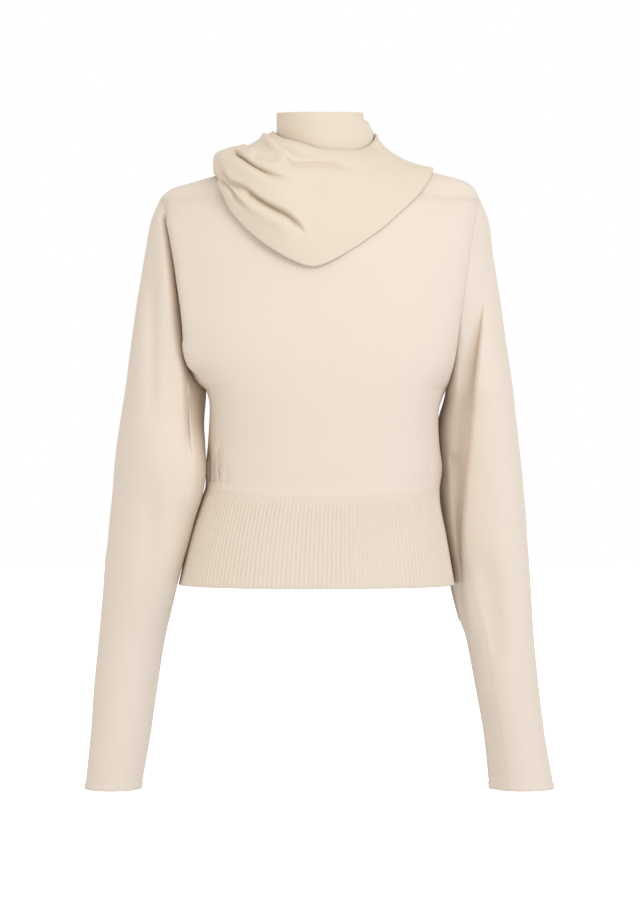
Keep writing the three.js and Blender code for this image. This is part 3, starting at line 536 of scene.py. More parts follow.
@dataclass(frozen=True)
class Cloth:
    """One object of cloth: a wall with rounded free edges and flat seams.

    Attributes:
        name: The object's name.
        thickness: The cloth's thickness in millimetres.
        lower: How the lower edge is finished.
        upper: How the upper edge is finished.
        rim_steps: Faces over a rounded edge.
    """

    name: str
    thickness: float
    lower: Rim
    upper: Rim
    rim_steps: int = 4

    def build(self, grid: Grid, wale: Array, course: Array) -> bpy.types.Object:
        """Makes the object's mesh.

        Args:
            grid: The outer side.
            wale: Distance across the knit of each point, in millimetres.
            course: Distance along the knit of each point, in millimetres.

        Returns:
            The object, linked to the scene.
        """
        inner = grid.points - self.thickness * grid.normals
        rows, columns = grid.points.shape[:2]
        size = rows * columns
        spots = [grid.points.reshape(-1, 3), inner.reshape(-1, 3)]
        number = np.arange(size).reshape(rows, columns)
        quads = [self._quads(number, grid.closed), self._quads(number + size, grid.closed)[:, ::-1]]
        flat_quads = []
        places = [np.stack([wale, course], axis=-1).reshape(-1, 2)] * 2
        taken = 2 * size
        for row, rim in ((0, self.lower), (rows - 1, self.upper)):
            ladder = [number[row]]
            if rim is Rim.TURNED:
                inward = -1 if row else 1
                beyond = unit(grid.points[row] - grid.points[row + inward])
                middle = (grid.points[row] + inner[row]) / 2
                outward = (beyond * grid.normals[row]).sum(-1, keepdims=True)
                beyond = unit(beyond - outward * grid.normals[row])
                for step in range(1, self.rim_steps):
                    angle = math.pi * step / self.rim_steps
                    way = math.cos(angle) * grid.normals[row] + math.sin(angle) * beyond
                    spots.append(middle + self.thickness / 2 * way)
                    places.append(np.stack([wale[row], course[row]], axis=-1))
                    ladder.append(np.arange(taken, taken + columns))
                    taken += columns
            ladder.append(number[row] + size)
            band = np.stack(ladder)
            kind = quads if rim is Rim.TURNED else flat_quads
            kind.append(self._quads(band if row else band[::-1], grid.closed))
        if not grid.closed:
            for column in (0, columns - 1):
                band = np.stack([number[:, column], number[:, column] + size])
                flat_quads.append(self._quads(band[::-1] if column else band, False))
        sewn = np.vstack(flat_quads) if flat_quads else np.zeros((0, 4), int)
        return self._object(np.vstack(spots), np.vstack(quads), sewn, np.vstack(places))

    def _quads(self, number: Array, closed: bool) -> Array:
        """Faces between the rows of a block of vertex numbers.

        Args:
            number: Vertex numbers by row and column.
            closed: True where the last column joins the first.

        Returns:
            Four vertex numbers for each face.
        """
        if closed:
            number = np.column_stack([number, number[:, 0]])
        corners = (number[:-1, :-1], number[:-1, 1:], number[1:, 1:], number[1:, :-1])
        return np.stack(corners, axis=-1).reshape(-1, 4)

    def _object(self, spots: Array, soft: Array, sewn: Array, places: Array) -> bpy.types.Object:
        """Puts vertices and faces into a new object.

        Args:
            spots: Vertices in millimetres.
            soft: Faces that shade smoothly.
            sewn: Faces in seams, with sharp edges all round.
            places: Each vertex's place on the knit, in millimetres.

        Returns:
            The object, linked to the scene.
        """
        quads = np.vstack([soft, sewn])
        mesh = bpy.data.meshes.new(self.name)
        mesh.vertices.add(len(spots))
        mesh.vertices.foreach_set("co", (spots * MM).astype(np.float32).ravel())
        mesh.loops.add(quads.size)
        mesh.loops.foreach_set("vertex_index", quads.ravel().astype(np.int32))
        mesh.polygons.add(len(quads))
        mesh.polygons.foreach_set("loop_start", np.arange(0, quads.size, 4, dtype=np.int32))
        mesh.update(calc_edges=True)
        mesh.polygons.foreach_set("use_smooth", np.ones(len(quads), bool))
        if len(sewn):
            ends = np.stack([sewn, np.roll(sewn, -1, axis=1)], axis=-1).reshape(-1, 2)
            known = {tuple(sorted(pair)) for pair in ends.tolist()}
            edges = np.zeros(2 * len(mesh.edges), np.int32)
            mesh.edges.foreach_get("vertices", edges)
            sharp = [tuple(sorted(pair)) in known for pair in edges.reshape(-1, 2).tolist()]
            mesh.attributes.new("sharp_edge", "BOOLEAN", "EDGE").data.foreach_set("value", sharp)
        knit = places[quads]
        round_it = places[:, 0].max() + self.thickness
        wraps = np.ptp(knit[..., 0], axis=1) > round_it / 2
        knit[..., 0] += np.where(wraps[:, None] & (knit[..., 0] < round_it / 2), round_it, 0)
        layer = mesh.uv_layers.new(name="knit")
        layer.data.foreach_set("uv", (knit * MM).astype(np.float32).ravel())
        mesh.validate()
        return add_object(self.name, mesh)


def knit_places(grid: Grid, still_row: int) -> tuple[Array, Array]:
    """Where each point lies on the knit, from distances over the cloth.

    Args:
        grid: The sheet.
        still_row: The row whose own lengths set the distance across for every row.

    Returns:
        Distances across and along the knit, in millimetres.
    """
    p = grid.points
    across = np.linalg.norm(np.diff(p[still_row], axis=0), axis=-1)
    wale = np.concatenate([[0], np.cumsum(across)])
    up = np.linalg.norm(np.diff(p, axis=0), axis=-1)
    course = np.vstack([np.zeros(p.shape[1]), np.cumsum(up, axis=0)])
    return np.broadcast_to(wale, p.shape[:2]).copy(), course


Edge = tuple[Array | int, Array | int]


def sew(one: Grid, edge: Edge, other: Grid, other_edge: Edge) -> None:
    """Joins two edges, so that both take the same places and face the same way there.

    Args:
        one: A sheet.
        edge: Rows and columns of its edge.
        other: Its neighbour.
        other_edge: Rows and columns of the neighbour's edge, point for point.
    """
    shared = unit(one.normals[edge] + other.normals[other_edge])
    middle = (one.points[edge] + other.points[other_edge]) / 2
    for sheet, places in ((one, edge), (other, other_edge)):
        sheet.normals[places] = shared
        sheet.points[places] = middle


@dataclass
class Shell:
    """Front, back and sleeves, knitted flat and sewn along shoulders, armholes and sides.

    Attributes:
        neck_columns: Columns over half of the neckline.
        shoulder_columns: Columns over one shoulder.
        lower_rows: Rows between the waistband and the underarm.
        upper_rows: Rows between the underarm and the shoulder.
        sleeve_rings: Rings along a sleeve.
        ring_spread: Over 1, so that rings stand closer towards the armhole.
        thickness: The plain knit's thickness.
        seam_dip: How far the sewing draws a seam in.
        cuff: Width of the turned cuff.
        cuff_rise: How far its second layer stands out.
        cuff_step: Half of the height over which that layer ends.
        stitch_depth: How far its stitch line sinks in.
        stitch_width: Width of that line.
        front_folds: The creases that show from the front.
        back_folds: The creases behind.
        puckers: Short gathers above the waistband, as (x, drop of the upper end, depth).
        pucker_width: Their width.
        pucker_ends: Shares of their length over which they begin and end.
    """

    neck_columns: int = 22
    shoulder_columns: int = 44
    lower_rows: int = 36
    upper_rows: int = 84
    sleeve_rings: int = 190
    ring_spread: float = 1.2
    thickness: float = 2.0
    seam_dip: float = 0.6
    cuff: float = 7.0
    cuff_rise: float = 0.7
    cuff_step: float = 1.0
    stitch_depth: float = 0.35
    stitch_width: float = 1.2
    front_folds: tuple[Fold, ...] = (
        Fold(
            ((-181, 42), (-171, 94), (-164, 140), (-159, 176), (-157, 208), (-152, 225), (-143, 244)),
            6, 2, 4, 0.1, 0.08, 5,
        ),
        Fold(
            ((-157, 196), (-156, 220), (-154.5, 260), (-153, 300), (-151, 350)),
            9, 2.5, 4, 0.05, 0.4, 2.5,
        ),
            Fold(((-143, 236), (-143, 290), (-145, 350), (-153, 410)), -5, 7, 8, 0.3, 0.5),
            Fold(((-197, 90), (-197, 160), (-197, 240), (-198, 320)), 6, 8, 10, 0.3, 0.4),
            Fold(((-199, 350), (-199, 400), (-201, 450), (-206, 540)), 3, 12, 12, 0.3, 0.4),
            Fold(
                ((191, 118), (187.5, 210), (179, 300), (170, 400), (166, 470), (163.5, 525), (163, 562)),
                20, 3.5, 20, 0.28, 0.1, 6,
            ),
            Fold(((156, 330), (150, 346), (142, 362)), 8, 12, 8, 0.3, 0.1),
            Fold(((194, 440), (200, 500), (207, 560), (212, 600)), 5, 14, 12, 0.3, 0.4),
            Fold(((186, 600), (194, 650), (200, 700), (203, 723)), 7, 8, 14, 0.3, 0),
    )
    back_folds: tuple[Fold, ...] = (
            Fold(((-155, 200), (-154, 270), (-158, 350), (-170, 430)), 14, 16, 9, 0.35, 0.4),
            Fold(((158, 200), (163, 280), (170, 360), (178, 440)), 15, 9, 18, 0.35, 0.4),
            Fold(((-203, 110), (-207, 220), (-212, 330)), 5, 10, 10, 0.3, 0.4),
            Fold(((205, 160), (210, 260), (214, 380)), 5, 10, 10, 0.3, 0.4),
    )
    puckers: tuple[tuple[float, float, float], ...] = (
        (-129, 314, 12),
        (-123.5, 326, 12),
        (-117, 310, 10),
        (-109.5, 340, 5),
        (112, 348, 2),
        (121, 342, 3),
        (129, 336, 3.5),
    )
    pucker_width: float = 2.3
    pucker_ends: tuple[float, float] = (0.5, 0.22)

    def creases(self, face: Face) -> tuple[Fold, ...]:
        """The creases of one face, with the gathers above the waistband.

        Args:
            face: Front or back.

        Returns:
            The folds.
        """
        wide, foot = self.pucker_width, FORM.waist_drop
        gathers = tuple(
            Fold(((x, top), (x - 0.5, (top + foot) / 2), (x, foot)), depth, wide, wide, *self.pucker_ends)
            for x, top, depth in self.puckers
        )
        return self.folds(face) + gathers

    def folds(self, face: Face) -> tuple[Fold, ...]:
        """The long creases of one face."""
        return self.front_folds if face is Face.FRONT else self.back_folds

    def columns(self) -> Array:
        """Places of the body's columns, closer together towards the sides.

        Returns:
            Values from -1 to 1.
        """
        neck = FORM.neckline_half / FORM.shoulder_half
        near = neck * np.sin(np.arange(1, self.neck_columns + 1) / self.neck_columns * math.pi / 2)
        steps = np.arange(1, self.shoulder_columns + 1) / self.shoulder_columns
        far = neck + (1 - neck) * np.sin(steps * math.pi / 2)
        half = np.concatenate([near, far])
        return np.concatenate([-half[::-1], [0], half])

    def level(self, step: Array) -> Array:
        """Share of the way up the armhole: rows stand closer near both ends."""
        share = np.asarray(step, float) / self.upper_rows
        return (share + (1 - np.cos(math.pi * share)) / 2) / 2

    def body(self, face: Face) -> Grid:
        """The front or the back, from the waistband up.

        Args:
            face: Front or back.

        Returns:
            The sheet, facing outwards.
        """
        across = self.columns()[None, :]
        steps = np.arange(self.lower_rows)[:, None] / self.lower_rows
        lower = lerp(FORM.waist_height(across), -FORM.underarm_drop, steps)
        shares = self.level(np.arange(self.upper_rows + 1))[:, None]
        upper = lerp(-FORM.underarm_drop, FORM.top_edge(face, across)[..., 2], shares)
        z = np.vstack([lower, upper])
        points = FORM.body_point(face, np.broadcast_to(across, z.shape), z)
        grid = Grid(FORM.fold_in(points, face, self.creases(face)))
        return grid if face is Face.FRONT else grid.turned_round()

    def sleeve(self, side: Side) -> Grid:
        """A sleeve as rings from the cuff up to the armhole.

        Args:
            side: The wearer's side.

        Returns:
            The sheet, facing outwards.
        """
        count = 2 * self.upper_rows
        number = np.arange(count)
        angle = number / count * 2 * math.pi
        level = self.level(np.minimum(number, count - number))
        start_drop = lerp(FORM.shoulder_drop, FORM.underarm_drop, level)
        in_front = angle <= math.pi
        halves = ((Face.FRONT, in_front), (Face.BACK, ~in_front))
        start = sum(FORM.armhole_point(side, face, start_drop) * half[:, None] for face, half in halves)
        offset = start - self._section(side, angle, -start_drop)
        share = (np.arange(self.sleeve_rings, -1, -1) / self.sleeve_rings)[:, None] ** self.ring_spread
        z = lerp(start[:, 2], -FORM.cuff_drop, share)
        kept = 1 - smoothstep(start[:, 2] - z, 0, FORM.sleeve_blend)
        points = self._section(side, angle, z) + offset * kept[..., None]
        points[..., 2] = z
        folded = points.copy()
        for face, half in halves:
            away = np.abs(points[..., 0] - FORM.armhole_point(side, face, -z)[..., 0])
            pull = FORM.groove(side, face, -z) * np.exp(-((away / FORM.groove_on_sleeve) ** 2))
            folded[..., 1] -= face.value * pull * (z > -FORM.underarm_drop) * half
        for face, half in halves:
            folded[:, half] = FORM.fold_in(folded, face, self.folds(face))[:, half]
        grid = Grid(folded, closed=True)
        return grid if side is Side.RIGHT else grid.turned_round()

    def _section(self, side: Side, angle: Array, z: Array) -> Array:
        """Points of a sleeve's level section.

        Args:
            side: The wearer's side.
            angle: Turns in radians from the outer side to the front.
            z: Heights.

        Returns:
            Points in millimetres.
        """
        table = FORM.sleeve_table(side)
        angle, z = np.broadcast_arrays(angle, z)
        drop = -z
        outward, forward = np.cos(angle), np.sin(angle)
        outer, inner = table.at("outer", drop), table.at("inner", drop)
        depth = np.where(forward > 0, table.at("front", drop), table.at("back", drop))
        x = side.value * ((outer + inner) / 2 + (outer - inner) / 2 * outward)
        ends = FORM.right_flat_ends if side is Side.RIGHT else FORM.left_flat_ends
        flat = FORM.sleeve_flat * (1 - smoothstep(drop, *ends))
        inner_front = (outward < 0) & (forward > 0)
        bulge = np.where(inner_front, np.abs(forward) ** (1 - flat), forward)
        y = FORM.side_y + table.at("skew", drop) * (1 - outward) / 2 - depth * bulge
        return np.stack([x, y, z], axis=-1)

    def build(self) -> dict[str, bpy.types.Object]:
        """Makes the four sheets, sewn together at their edges.

        Returns:
            The objects, by the name of the solid that each stands for.
        """
        front, back = self.body(Face.FRONT), self.body(Face.BACK)
        right, left = self.sleeve(Side.RIGHT), self.sleeve(Side.LEFT)
        top, last = front.points.shape[0] - 1, front.points.shape[1] - 1
        self._join_sides_and_shoulders(front, back)
        s = np.arange(self.upper_rows - 1, 0, -1)
        count, ring = 2 * self.upper_rows, self.sleeve_rings
        sew(right, (ring, s), front, (top - s, 0))
        sew(back, (top - s, last), right, (ring, count - s))
        sew(left, (ring, s - 1), back, (top - s, 0))
        sew(front, (top - s, last), left, (ring, count - 1 - s))
        self._join_corners(front, back, right, left)
        for grid in (front, back, right, left):
            self._draw_in_seams(grid)
        made = {}
        for node, grid, bottom in (
            ("front_panel", front, Rim.SEWN),
            ("back_panel", back, Rim.SEWN),
            ("sleeve_right", right, Rim.TURNED),
            ("sleeve_left", left, Rim.TURNED),
        ):
            wale, course = knit_places(grid, 0 if bottom is Rim.SEWN else grid.points.shape[0] // 2)
            if bottom is Rim.TURNED:
                self._turn_cuff(grid)
            cloth = Cloth(f"{node}_knit", self.thickness, bottom, Rim.SEWN)
            made[node] = cloth.build(grid, wale, course)
        return made

    def _join_sides_and_shoulders(self, front: Grid, back: Grid) -> None:
        """Lets front and back face the same way along their shared seams.

        Args:
            front: The front's sheet.
            back: The back's sheet.
        """
        on_neck = np.abs(front.points[-1, :, 0]) < FORM.neckline_half - HAIR
        for sheet, neck in ((front, on_neck), (back, on_neck[::-1])):
            sheet.normals[0, :, 2] = 0
            sheet.normals[-1, ~neck, 1] = 0
            sheet.normals[-1, neck] = (0, 0, 1)
            sheet.normals[: self.lower_rows + 1, [0, -1], 1] = 0
            sheet.normals = unit(sheet.normals)

    def _join_corners(self, front: Grid, back: Grid, right: Grid, left: Grid) -> None:
        """Lets the sheets face the same way where three of them meet.

        Args:
            front: The front's sheet.
            back: The back's sheet.
            right: The right sleeve's sheet.
            left: The left sleeve's sheet.
        """
        ring, half, last = self.sleeve_rings, self.upper_rows, 2 * self.upper_rows - 1
        for sleeve, tip, under, column, out in ((right, 0, half, 0, -1), (left, last, last - half, -1, 1)):
            opposite = -1 - column
            shared = unit((front.normals[-1, column] + back.normals[-1, opposite]) * (1, 0, 1))
            front.normals[-1, column] = back.normals[-1, opposite] = shared
            sleeve.normals[ring, tip] = shared
            fork = unit(np.array([out, 0.0, -1.0]))
            front.normals[self.lower_rows, column] = back.normals[self.lower_rows, opposite] = fork
            sleeve.normals[ring, under] = (-fork[0], 0, fork[2])

    def _draw_in_seams(self, grid: Grid) -> None:
        """Sinks the sewn edges a little, as the stitches pull them in.

        Args:
            grid: A sheet.
        """
        sewn = np.zeros(grid.points.shape[:2], bool)
        sewn[-1] = True
        if not grid.closed:
            sewn[:, [0, -1]] = True
            sewn[-1] = np.abs(grid.points[-1, :, 0]) > FORM.neckline_half
        grid.points -= self.seam_dip * grid.normals * sewn[..., None]

    def _turn_cuff(self, grid: Grid) -> None:
        """Raises the turned cuff's second layer over its stitch line.

        Args:
            grid: A sleeve's sheet.
        """
        up = grid.points[..., 2] + FORM.cuff_drop
        low, high = self.cuff - self.cuff_step, self.cuff + self.cuff_step
        rise = self.cuff_rise * (1 - smoothstep(up, low, high))
        stitch = self.stitch_depth * np.exp(-(((up - high) / self.stitch_width) ** 2))
        grid.points += grid.normals * (rise - stitch)[..., None]


@dataclass
class Waistband:
    """The ribbed band, knitted in two halves and joined at the sides.

    Attributes:
        thickness: The cloth between its ribs.
        rib_height: How far the ribs stand out.
        ribs: Ribs over half of the band.
        columns_per_rib: Mesh columns over one rib.
        rows: Mesh rows.
        fade: The ribs grow over this height at the band's top.
        rib_power: Under 1, so that the ribs are rounder than the hollows between them.
        measuring_steps: For even spacing round the band.
    """

    thickness: float = 2.2
    rib_height: float = 1.3
    ribs: int = 84
    columns_per_rib: int = 6
    rows: int = 22
    fade: float = 14.0
    rib_power: float = 0.8
    measuring_steps: int = 1500

    def point(self, face: Face, across: Array, share: Array) -> Array:
        """A point of the band's plain section. share runs up from the hem."""
        return FORM.body_point(face, across, lerp(-FORM.hem_drop, FORM.waist_height(across), share))

    def even_across(self, face: Face) -> Array:
        """Places evenly spaced round the band at its mid height.

        Args:
            face: Front or back.

        Returns:
            Values from -1 to 1.
        """
        fine = np.sin((np.linspace(0, 1, self.measuring_steps + 1) - 0.5) * math.pi)
        spans = np.linalg.norm(np.diff(self.point(face, fine, 0.5), axis=0), axis=-1)
        along = np.concatenate([[0], np.cumsum(spans)])
        count = self.ribs * self.columns_per_rib
        return np.interp(np.linspace(0, along[-1], count + 1), along, fine)

    def build(self) -> dict[str, bpy.types.Object]:
        """Makes both halves.

        Returns:
            The objects, by the name of the solid that each stands for.
        """
        made = {}
        for face in Face:
            across = self.even_across(face)[None, :]
            share = np.linspace(0, 1, self.rows + 1)[:, None]
            grid = Grid(self.point(face, across, share))
            if face is Face.BACK:
                grid = grid.turned_round()
            grid.normals[..., 2] = 0
            grid.normals[:, [0, -1], 1] = 0
            grid.normals = unit(grid.normals)
            phase = np.arange(across.size) / self.columns_per_rib * 2 * math.pi
            profile = (0.5 - 0.5 * np.cos(phase)) ** self.rib_power
            below = grid.points[-1, :, 2] - grid.points[..., 2]
            rise = self.rib_height * profile * smoothstep(below, 0, self.fade)
            wale, course = knit_places(grid, self.rows // 2)
            grid.points = grid.points + grid.normals * rise[..., None]
            node = f"waistband_{face.column}"
            cloth = Cloth(f"{node}_rib", self.thickness, Rim.TURNED, Rim.SEWN)
            made[node] = cloth.build(grid, wale, course)
        return made


@dataclass
class NeckTube:
    """The close standing collar, sewn to the neckline.

    Attributes:
        y: Middle of its upper part.
        half: Half of its width there.
        depth: Half of its depth there.
        top: Height of its upper edge.
        front_dip: The edge is this much lower at the front.
        flare_end: Below this height it widens to the neckline.
        roll_top: On the wearer's left it rolls outwards below this height.
        roll_full: The roll is full from here down.
        roll_foot: It grows down to here.
        roll_out: How far it stands out.
        roll_growth: How much further at its foot.
        thickness: The cloth's thickness.
        columns: Mesh columns round it.
        rows: Mesh rows.
    """

    y: float = 2
    half: float = 50.8
    depth: float = 52
    top: float = 66
    front_dip: float = 5
    flare_end: float = 24
    roll_top: float = 60
    roll_full: float = 54
    roll_foot: float = 42
    roll_out: float = 7
    roll_growth: float = 5
    thickness: float = 2.0
    columns: int = 180
    rows: int = 44

    def point(self, turn: Array, z: Array) -> Array:
        """A point of the tube's outer side.

        Args:
            turn: Turns in radians from the front to the wearer's left.
            z: Heights.

        Returns:
            Points in millimetres.
        """
        turn, z = np.broadcast_arrays(np.asarray(turn, float), np.asarray(z, float))
        forward = np.cos(turn)
        base = FORM.neckline_at(turn)
        flare = 1 - smoothstep((z - base) / (self.flare_end - base), 0, 1)
        reach = np.where(forward > 0, FORM.front_depth, FORM.back_depth)
        half = lerp(self.half, FORM.neckline_half, flare)
        depth = lerp(self.depth, reach, flare)
        middle = lerp(self.y, FORM.shoulder_y, flare)
        roll = self.roll_out * (1 - smoothstep(z, self.roll_full, self.roll_top))
        roll += self.roll_growth * (1 - smoothstep(z, self.roll_foot, self.roll_full))
        x = half * np.sin(turn) + (1 - flare) * roll * np.maximum(0, np.sin(turn)) ** 2
        return np.stack([x, middle - depth * forward, np.maximum(z, base)], axis=-1)

    def build(self) -> dict[str, bpy.types.Object]:
        """Makes the tube.

        Returns:
            The object, by the name of the solid that it stands for.
        """
        turn = turns(self.columns)[None, :]
        top = self.top - self.front_dip * np.maximum(0, np.cos(turn))
        share = np.linspace(0, 1, self.rows + 1)[:, None]
        z = lerp(FORM.neckline_at(turn), top, share)
        grid = Grid(self.point(turn, z), closed=True)
        wale, course = knit_places(grid, self.rows)
        cloth = Cloth("neck_tube_knit", self.thickness, Rim.SEWN, Rim.TURNED)
        return {"neck_tube": cloth.build(grid, wale, course)}


@dataclass
class Cowl:
    """The wide draped ring, sewn round the neck tube and gathered on the wearer's right shoulder.

    Angles run in degrees from the front to the wearer's left, so 90 is at +X.

    Attributes:
        tube: The neck tube that it is sewn to.
        thickness: The softer knit's thickness.
        columns: Mesh columns round it.
        rows: Mesh rows from its rim to its edge.
        dense_at: Its columns stand closer together round this angle.
        density: How much closer.
        clear: It rests this far off the body.
        clear_step: How finely it is moved off the body.
        shoulder_top: Half of the shoulders' rounded top.
        shoulder_flat: Share of that which is level.
        turn_down: Rows inside the rim, as (below the rim, off the tube).
        fold_start: Share of a section over which the folds begin at the rim.
        behind: Between these the front's folds give way to the back's.
        sections: One row per section, from the rim through two shaping points.
        edge: The lower edge, as distance from the neck's middle and height.
        front_folds: The creases that show from the front.
        back_folds: The creases behind.
    """

    tube: NeckTube
    thickness: float = 2.4
    columns: int = 440
    rows: int = 107
    dense_at: float = 322
    density: float = 0.5
    clear: float = 1.1
    clear_step: float = 0.25
    shoulder_top: float = 45
    shoulder_flat: float = 0.3
    turn_down: tuple[tuple[float, float], ...] = ((3.5, 1.5), (6.5, 1.3), (10, 1.1))
    fold_start: float = 0.05
    behind: tuple[float, float] = (5, 35)
    sections: Table = table(
        "angle rim rim_height high high_height low low_height",
        (0, 58, 18, 78, 27, 120, -58),
        (45, 59, 19, 76, 22, 110, -26),
        (68, 62, 27, 72, 26, 100, -4),
        (90, 66, 41, 69, 34, 86, 10),
        (110, 64, 46, 70, 38, 92, 8),
        (135, 60, 49, 72, 40, 100, 4),
        (180, 58, 48, 74, 42, 104, -8),
        (225, 58, 46, 76, 40, 118, 14),
        (255, 55.5, 46, 72, 30, 122, 33),
        (270, 55.5, 46, 72, 27, 126, 35),
        (290, 56, 41, 75, 31, 133, 26),
        (315, 57, 32, 80, 38, 142, 2),
        (338, 58, 26, 80, 33, 134, -34),
        turn=360,
    )
    edge: Table = table(
        "angle reach height",
        (0, 109, -118), (19, 107, -100), (37, 114, -76), (51, 121, -52), (63, 126, -33), (76, 130, -12),
        (90, 132, 3), (112, 128, -12), (145, 112, -42), (180, 98, -60), (215, 112, -48), (250, 126, -18),
        (270, 124.5, -2), (287, 127, -15), (299, 128, -35), (307, 129, -53), (320, 123, -80),
        (334, 117, -101), (350, 111, -117),
        turn=360,
    )
    front_folds: tuple[Fold, ...] = (
        Fold(((-84, -32), (-74, -32), (-66, -31), (-57, -25), (-46, -20)), 4, 3, 4, 0, 0.5, 1),
        Fold(((-56, -36), (-47, -30), (-35, -26), (-18, -22), (0, -20)), 4, 2.5, 5, 0.3, 0.4),
        Fold(((-82, -22), (-68, -20), (-56, -16), (-42, -15)), 6, 5, 4, 0.2, 0.4, 1.5),
        Fold(
            ((-50, -16), (-40, -14), (-29, -11), (0, -11), (20, -9), (38, -5), (54, -1)),
            6, 2.5, 6, 0.2, 0.4, 2.5,
        ),
        Fold(
            ((-103, -26), (-94, -21), (-82, -12), (-70, -5), (-58, 1), (-41, 10), (-27, 15)),
            10, 2.2, 6, 0.08, 0.6, 3,
        ),
        Fold(
            (
                (-121, -10), (-115, -3), (-109, 7), (-104, 11), (-88, 18), (-68, 32),
                (-53, 40), (-41, 46), (-32, 53), (-23, 63), (-17, 80),
            ),
            9, 2, 7, 0.1, 0.2, 2.5,
        ),
        Fold(((-88, 20), (-68, 34), (-53, 42), (-41, 48), (-30, 58), (-23, 68)), 6, 2, 9, 0.12, 0.5, 1),
        Fold(
            ((-125, 4), (-117, 12), (-103, 25), (-94, 35), (-84, 47), (-76, 57)),
            8, 2.2, 4, 0.1, 0.6, 2.5,
        ),
        Fold(((-68, -42), (-61, -35), (-51, -27), (-37, -20), (-27, -17)), -4, 4, 4, 0.05, 0.3),
        Fold(((-119, -16), (-105, -12), (-90, -4), (-70, 10), (-45, 24), (-20, 36)), -4, 9, 9, 0, 0.5),
        Fold(((-103, 20), (-88, 31), (-68, 49), (-40, 66), (-28, 80)), -4, 9, 9, 0.2, 0.3),
        Fold(((46, -4), (55, -2), (64, -7), (74, -16)), 2, 4, 6, 0.4, 0.5),
        Fold(((-27, 15), (-14, 19), (2, 24), (16, 25)), 2, 4, 10, 0.4, 0.6),
    )
    back_folds: tuple[Fold, ...] = (
        Fold(((-84, -24), (-40, -12), (0, -8), (50, -14)), 9, 6, 9, 0, 0.4, 2),
        Fold(((-101, -25), (-66, 0), (-20, 12), (50, 4)), 11, 6, 11, 0, 0.5, 3),
        Fold(((-121, -10), (-84, 22), (-30, 38), (30, 34)), 11, 6, 11, 0, 0.5, 3),
    )

    def angles(self) -> Array:
        """The columns' angles in degrees.

        Returns:
            One angle per column.
        """
        turn = turns(self.columns)
        return np.degrees(turn - self.density * np.sin(turn - math.radians(self.dense_at)))

    def around(self, angle: Array, reach: Array, z: Array) -> Array:
        """Points at a distance from the neck's middle.

        Args:
            angle: Angles in degrees.
            reach: Distances from the middle.
            z: Heights.

        Returns:
            Points in millimetres.
        """
        turn = np.radians(angle)
        x, y = reach * np.sin(turn), self.tube.y - reach * np.cos(turn)
        return np.stack(np.broadcast_arrays(x, y, z), axis=-1)

    def draped(self, angle: Array, share: Array) -> Array:
        """The cowl before its folds.

        Args:
            angle: Angles in degrees.
            share: Share of the way from the rim to the edge.

        Returns:
            Points in millimetres.
        """
        s = 1 - share
        weights = (s**3, 3 * share * s * s, 3 * share**2 * s, share**3)
        reaches = [self.sections.at(name, angle) for name in ("rim", "high", "low")]
        heights = [self.sections.at(f"{name}_height", angle) for name in ("rim", "high", "low")]
        reaches.append(self.edge.at("reach", angle))
        heights.append(self.edge.at("height", angle))
        reach, z = (sum(w * v for w, v in zip(weights, values)) for values in (reaches, heights))
        return self.around(angle, reach, z)

    def inside_body(self, points: Array) -> Array:
        """Whether points lie inside the body.

        Args:
            points: Points in millimetres.

        Returns:
            True for each point inside.
        """
        x, y, z = points[..., 0], points[..., 1], points[..., 2]
        right = FORM.armhole.at("right", -z)
        across = np.clip(2 * (x + right) / (right + FORM.armhole.at("left", -z)) - 1, -1, 1)
        found = np.zeros(x.shape, bool)
        for face, here in ((Face.FRONT, y < FORM.shoulder_y), (Face.BACK, y >= FORM.shoulder_y)):
            surface = FORM.body_point(face, across, z)[..., 1]
            under = np.abs(y - FORM.shoulder_y) < np.abs(surface - FORM.shoulder_y)
            found |= here & under & (z < FORM.top_edge(face, across)[..., 2])
        return found

    def rest_on_body(self, points: Array, normals: Array) -> Array:
        """Moves cloth off the body: up on the shoulders, forwards or backwards below them.

        Args:
            points: Points in millimetres.
            normals: The way that each point faces.

        Returns:
            The moved points.
        """
        shape = points.shape
        points = points.reshape(-1, 3).copy()
        under = points - (self.thickness + self.clear) * normals.reshape(-1, 3)
        off = (points[:, 1] - FORM.shoulder_y) / self.shoulder_top
        rise = 1 - smoothstep(np.abs(off), self.shoulder_flat, 1)
        step = unit(np.stack([np.zeros_like(off), np.clip(off, -1, 1), rise], axis=-1)) * self.clear_step
        left = np.flatnonzero(self.inside_body(under))
        while len(left):
            under[left] += step[left]
            points[left] += step[left]
            left = left[self.inside_body(under[left])]
        return points.reshape(shape)

    def build(self) -> dict[str, bpy.types.Object]:
        """Makes the cowl.

        Returns:
            The object, by the name of the solid that it stands for.
        """
        angle = self.angles()[None, :]
        share = np.linspace(1, 0, self.rows + 1)[:, None]
        rows = [self.draped(angle, share)]
        for below, gap in self.turn_down:
            z = self.sections.at("rim_height", angle) - below
            tube = self.tube.point(np.radians(angle), z)
            reach = np.hypot(tube[..., 0], tube[..., 1] - self.tube.y) + gap
            rows.append(self.around(angle, reach, z))
        plain = Grid(np.vstack(rows), closed=True)
        p = plain.points
        from_rim = np.maximum(self.rows - np.arange(p.shape[0]), 0)[:, None] / self.rows
        start = smoothstep(from_rim, 0, self.fold_start)
        behind = smoothstep(p[..., 1], *self.behind)
        front, back = press_folds(self.front_folds, p), press_folds(self.back_folds, p)
        pressed = lerp(front, back, behind[..., None]) * start[..., None]
        folded = p - plain.normals * pressed[..., :1]
        folded[..., 0] += pressed[..., 1]
        folded[..., 2] += pressed[..., 2]
        folded[: self.rows] = self.rest_on_body(folded[: self.rows], plain.normals[: self.rows])
        grid = Grid(folded, closed=True)
        wale, course = knit_places(grid, self.rows // 2)
        cloth = Cloth("draped_cowl_knit", self.thickness, Rim.TURNED, Rim.SEWN)
        return {"draped_cowl": cloth.build(grid, wale, course)}


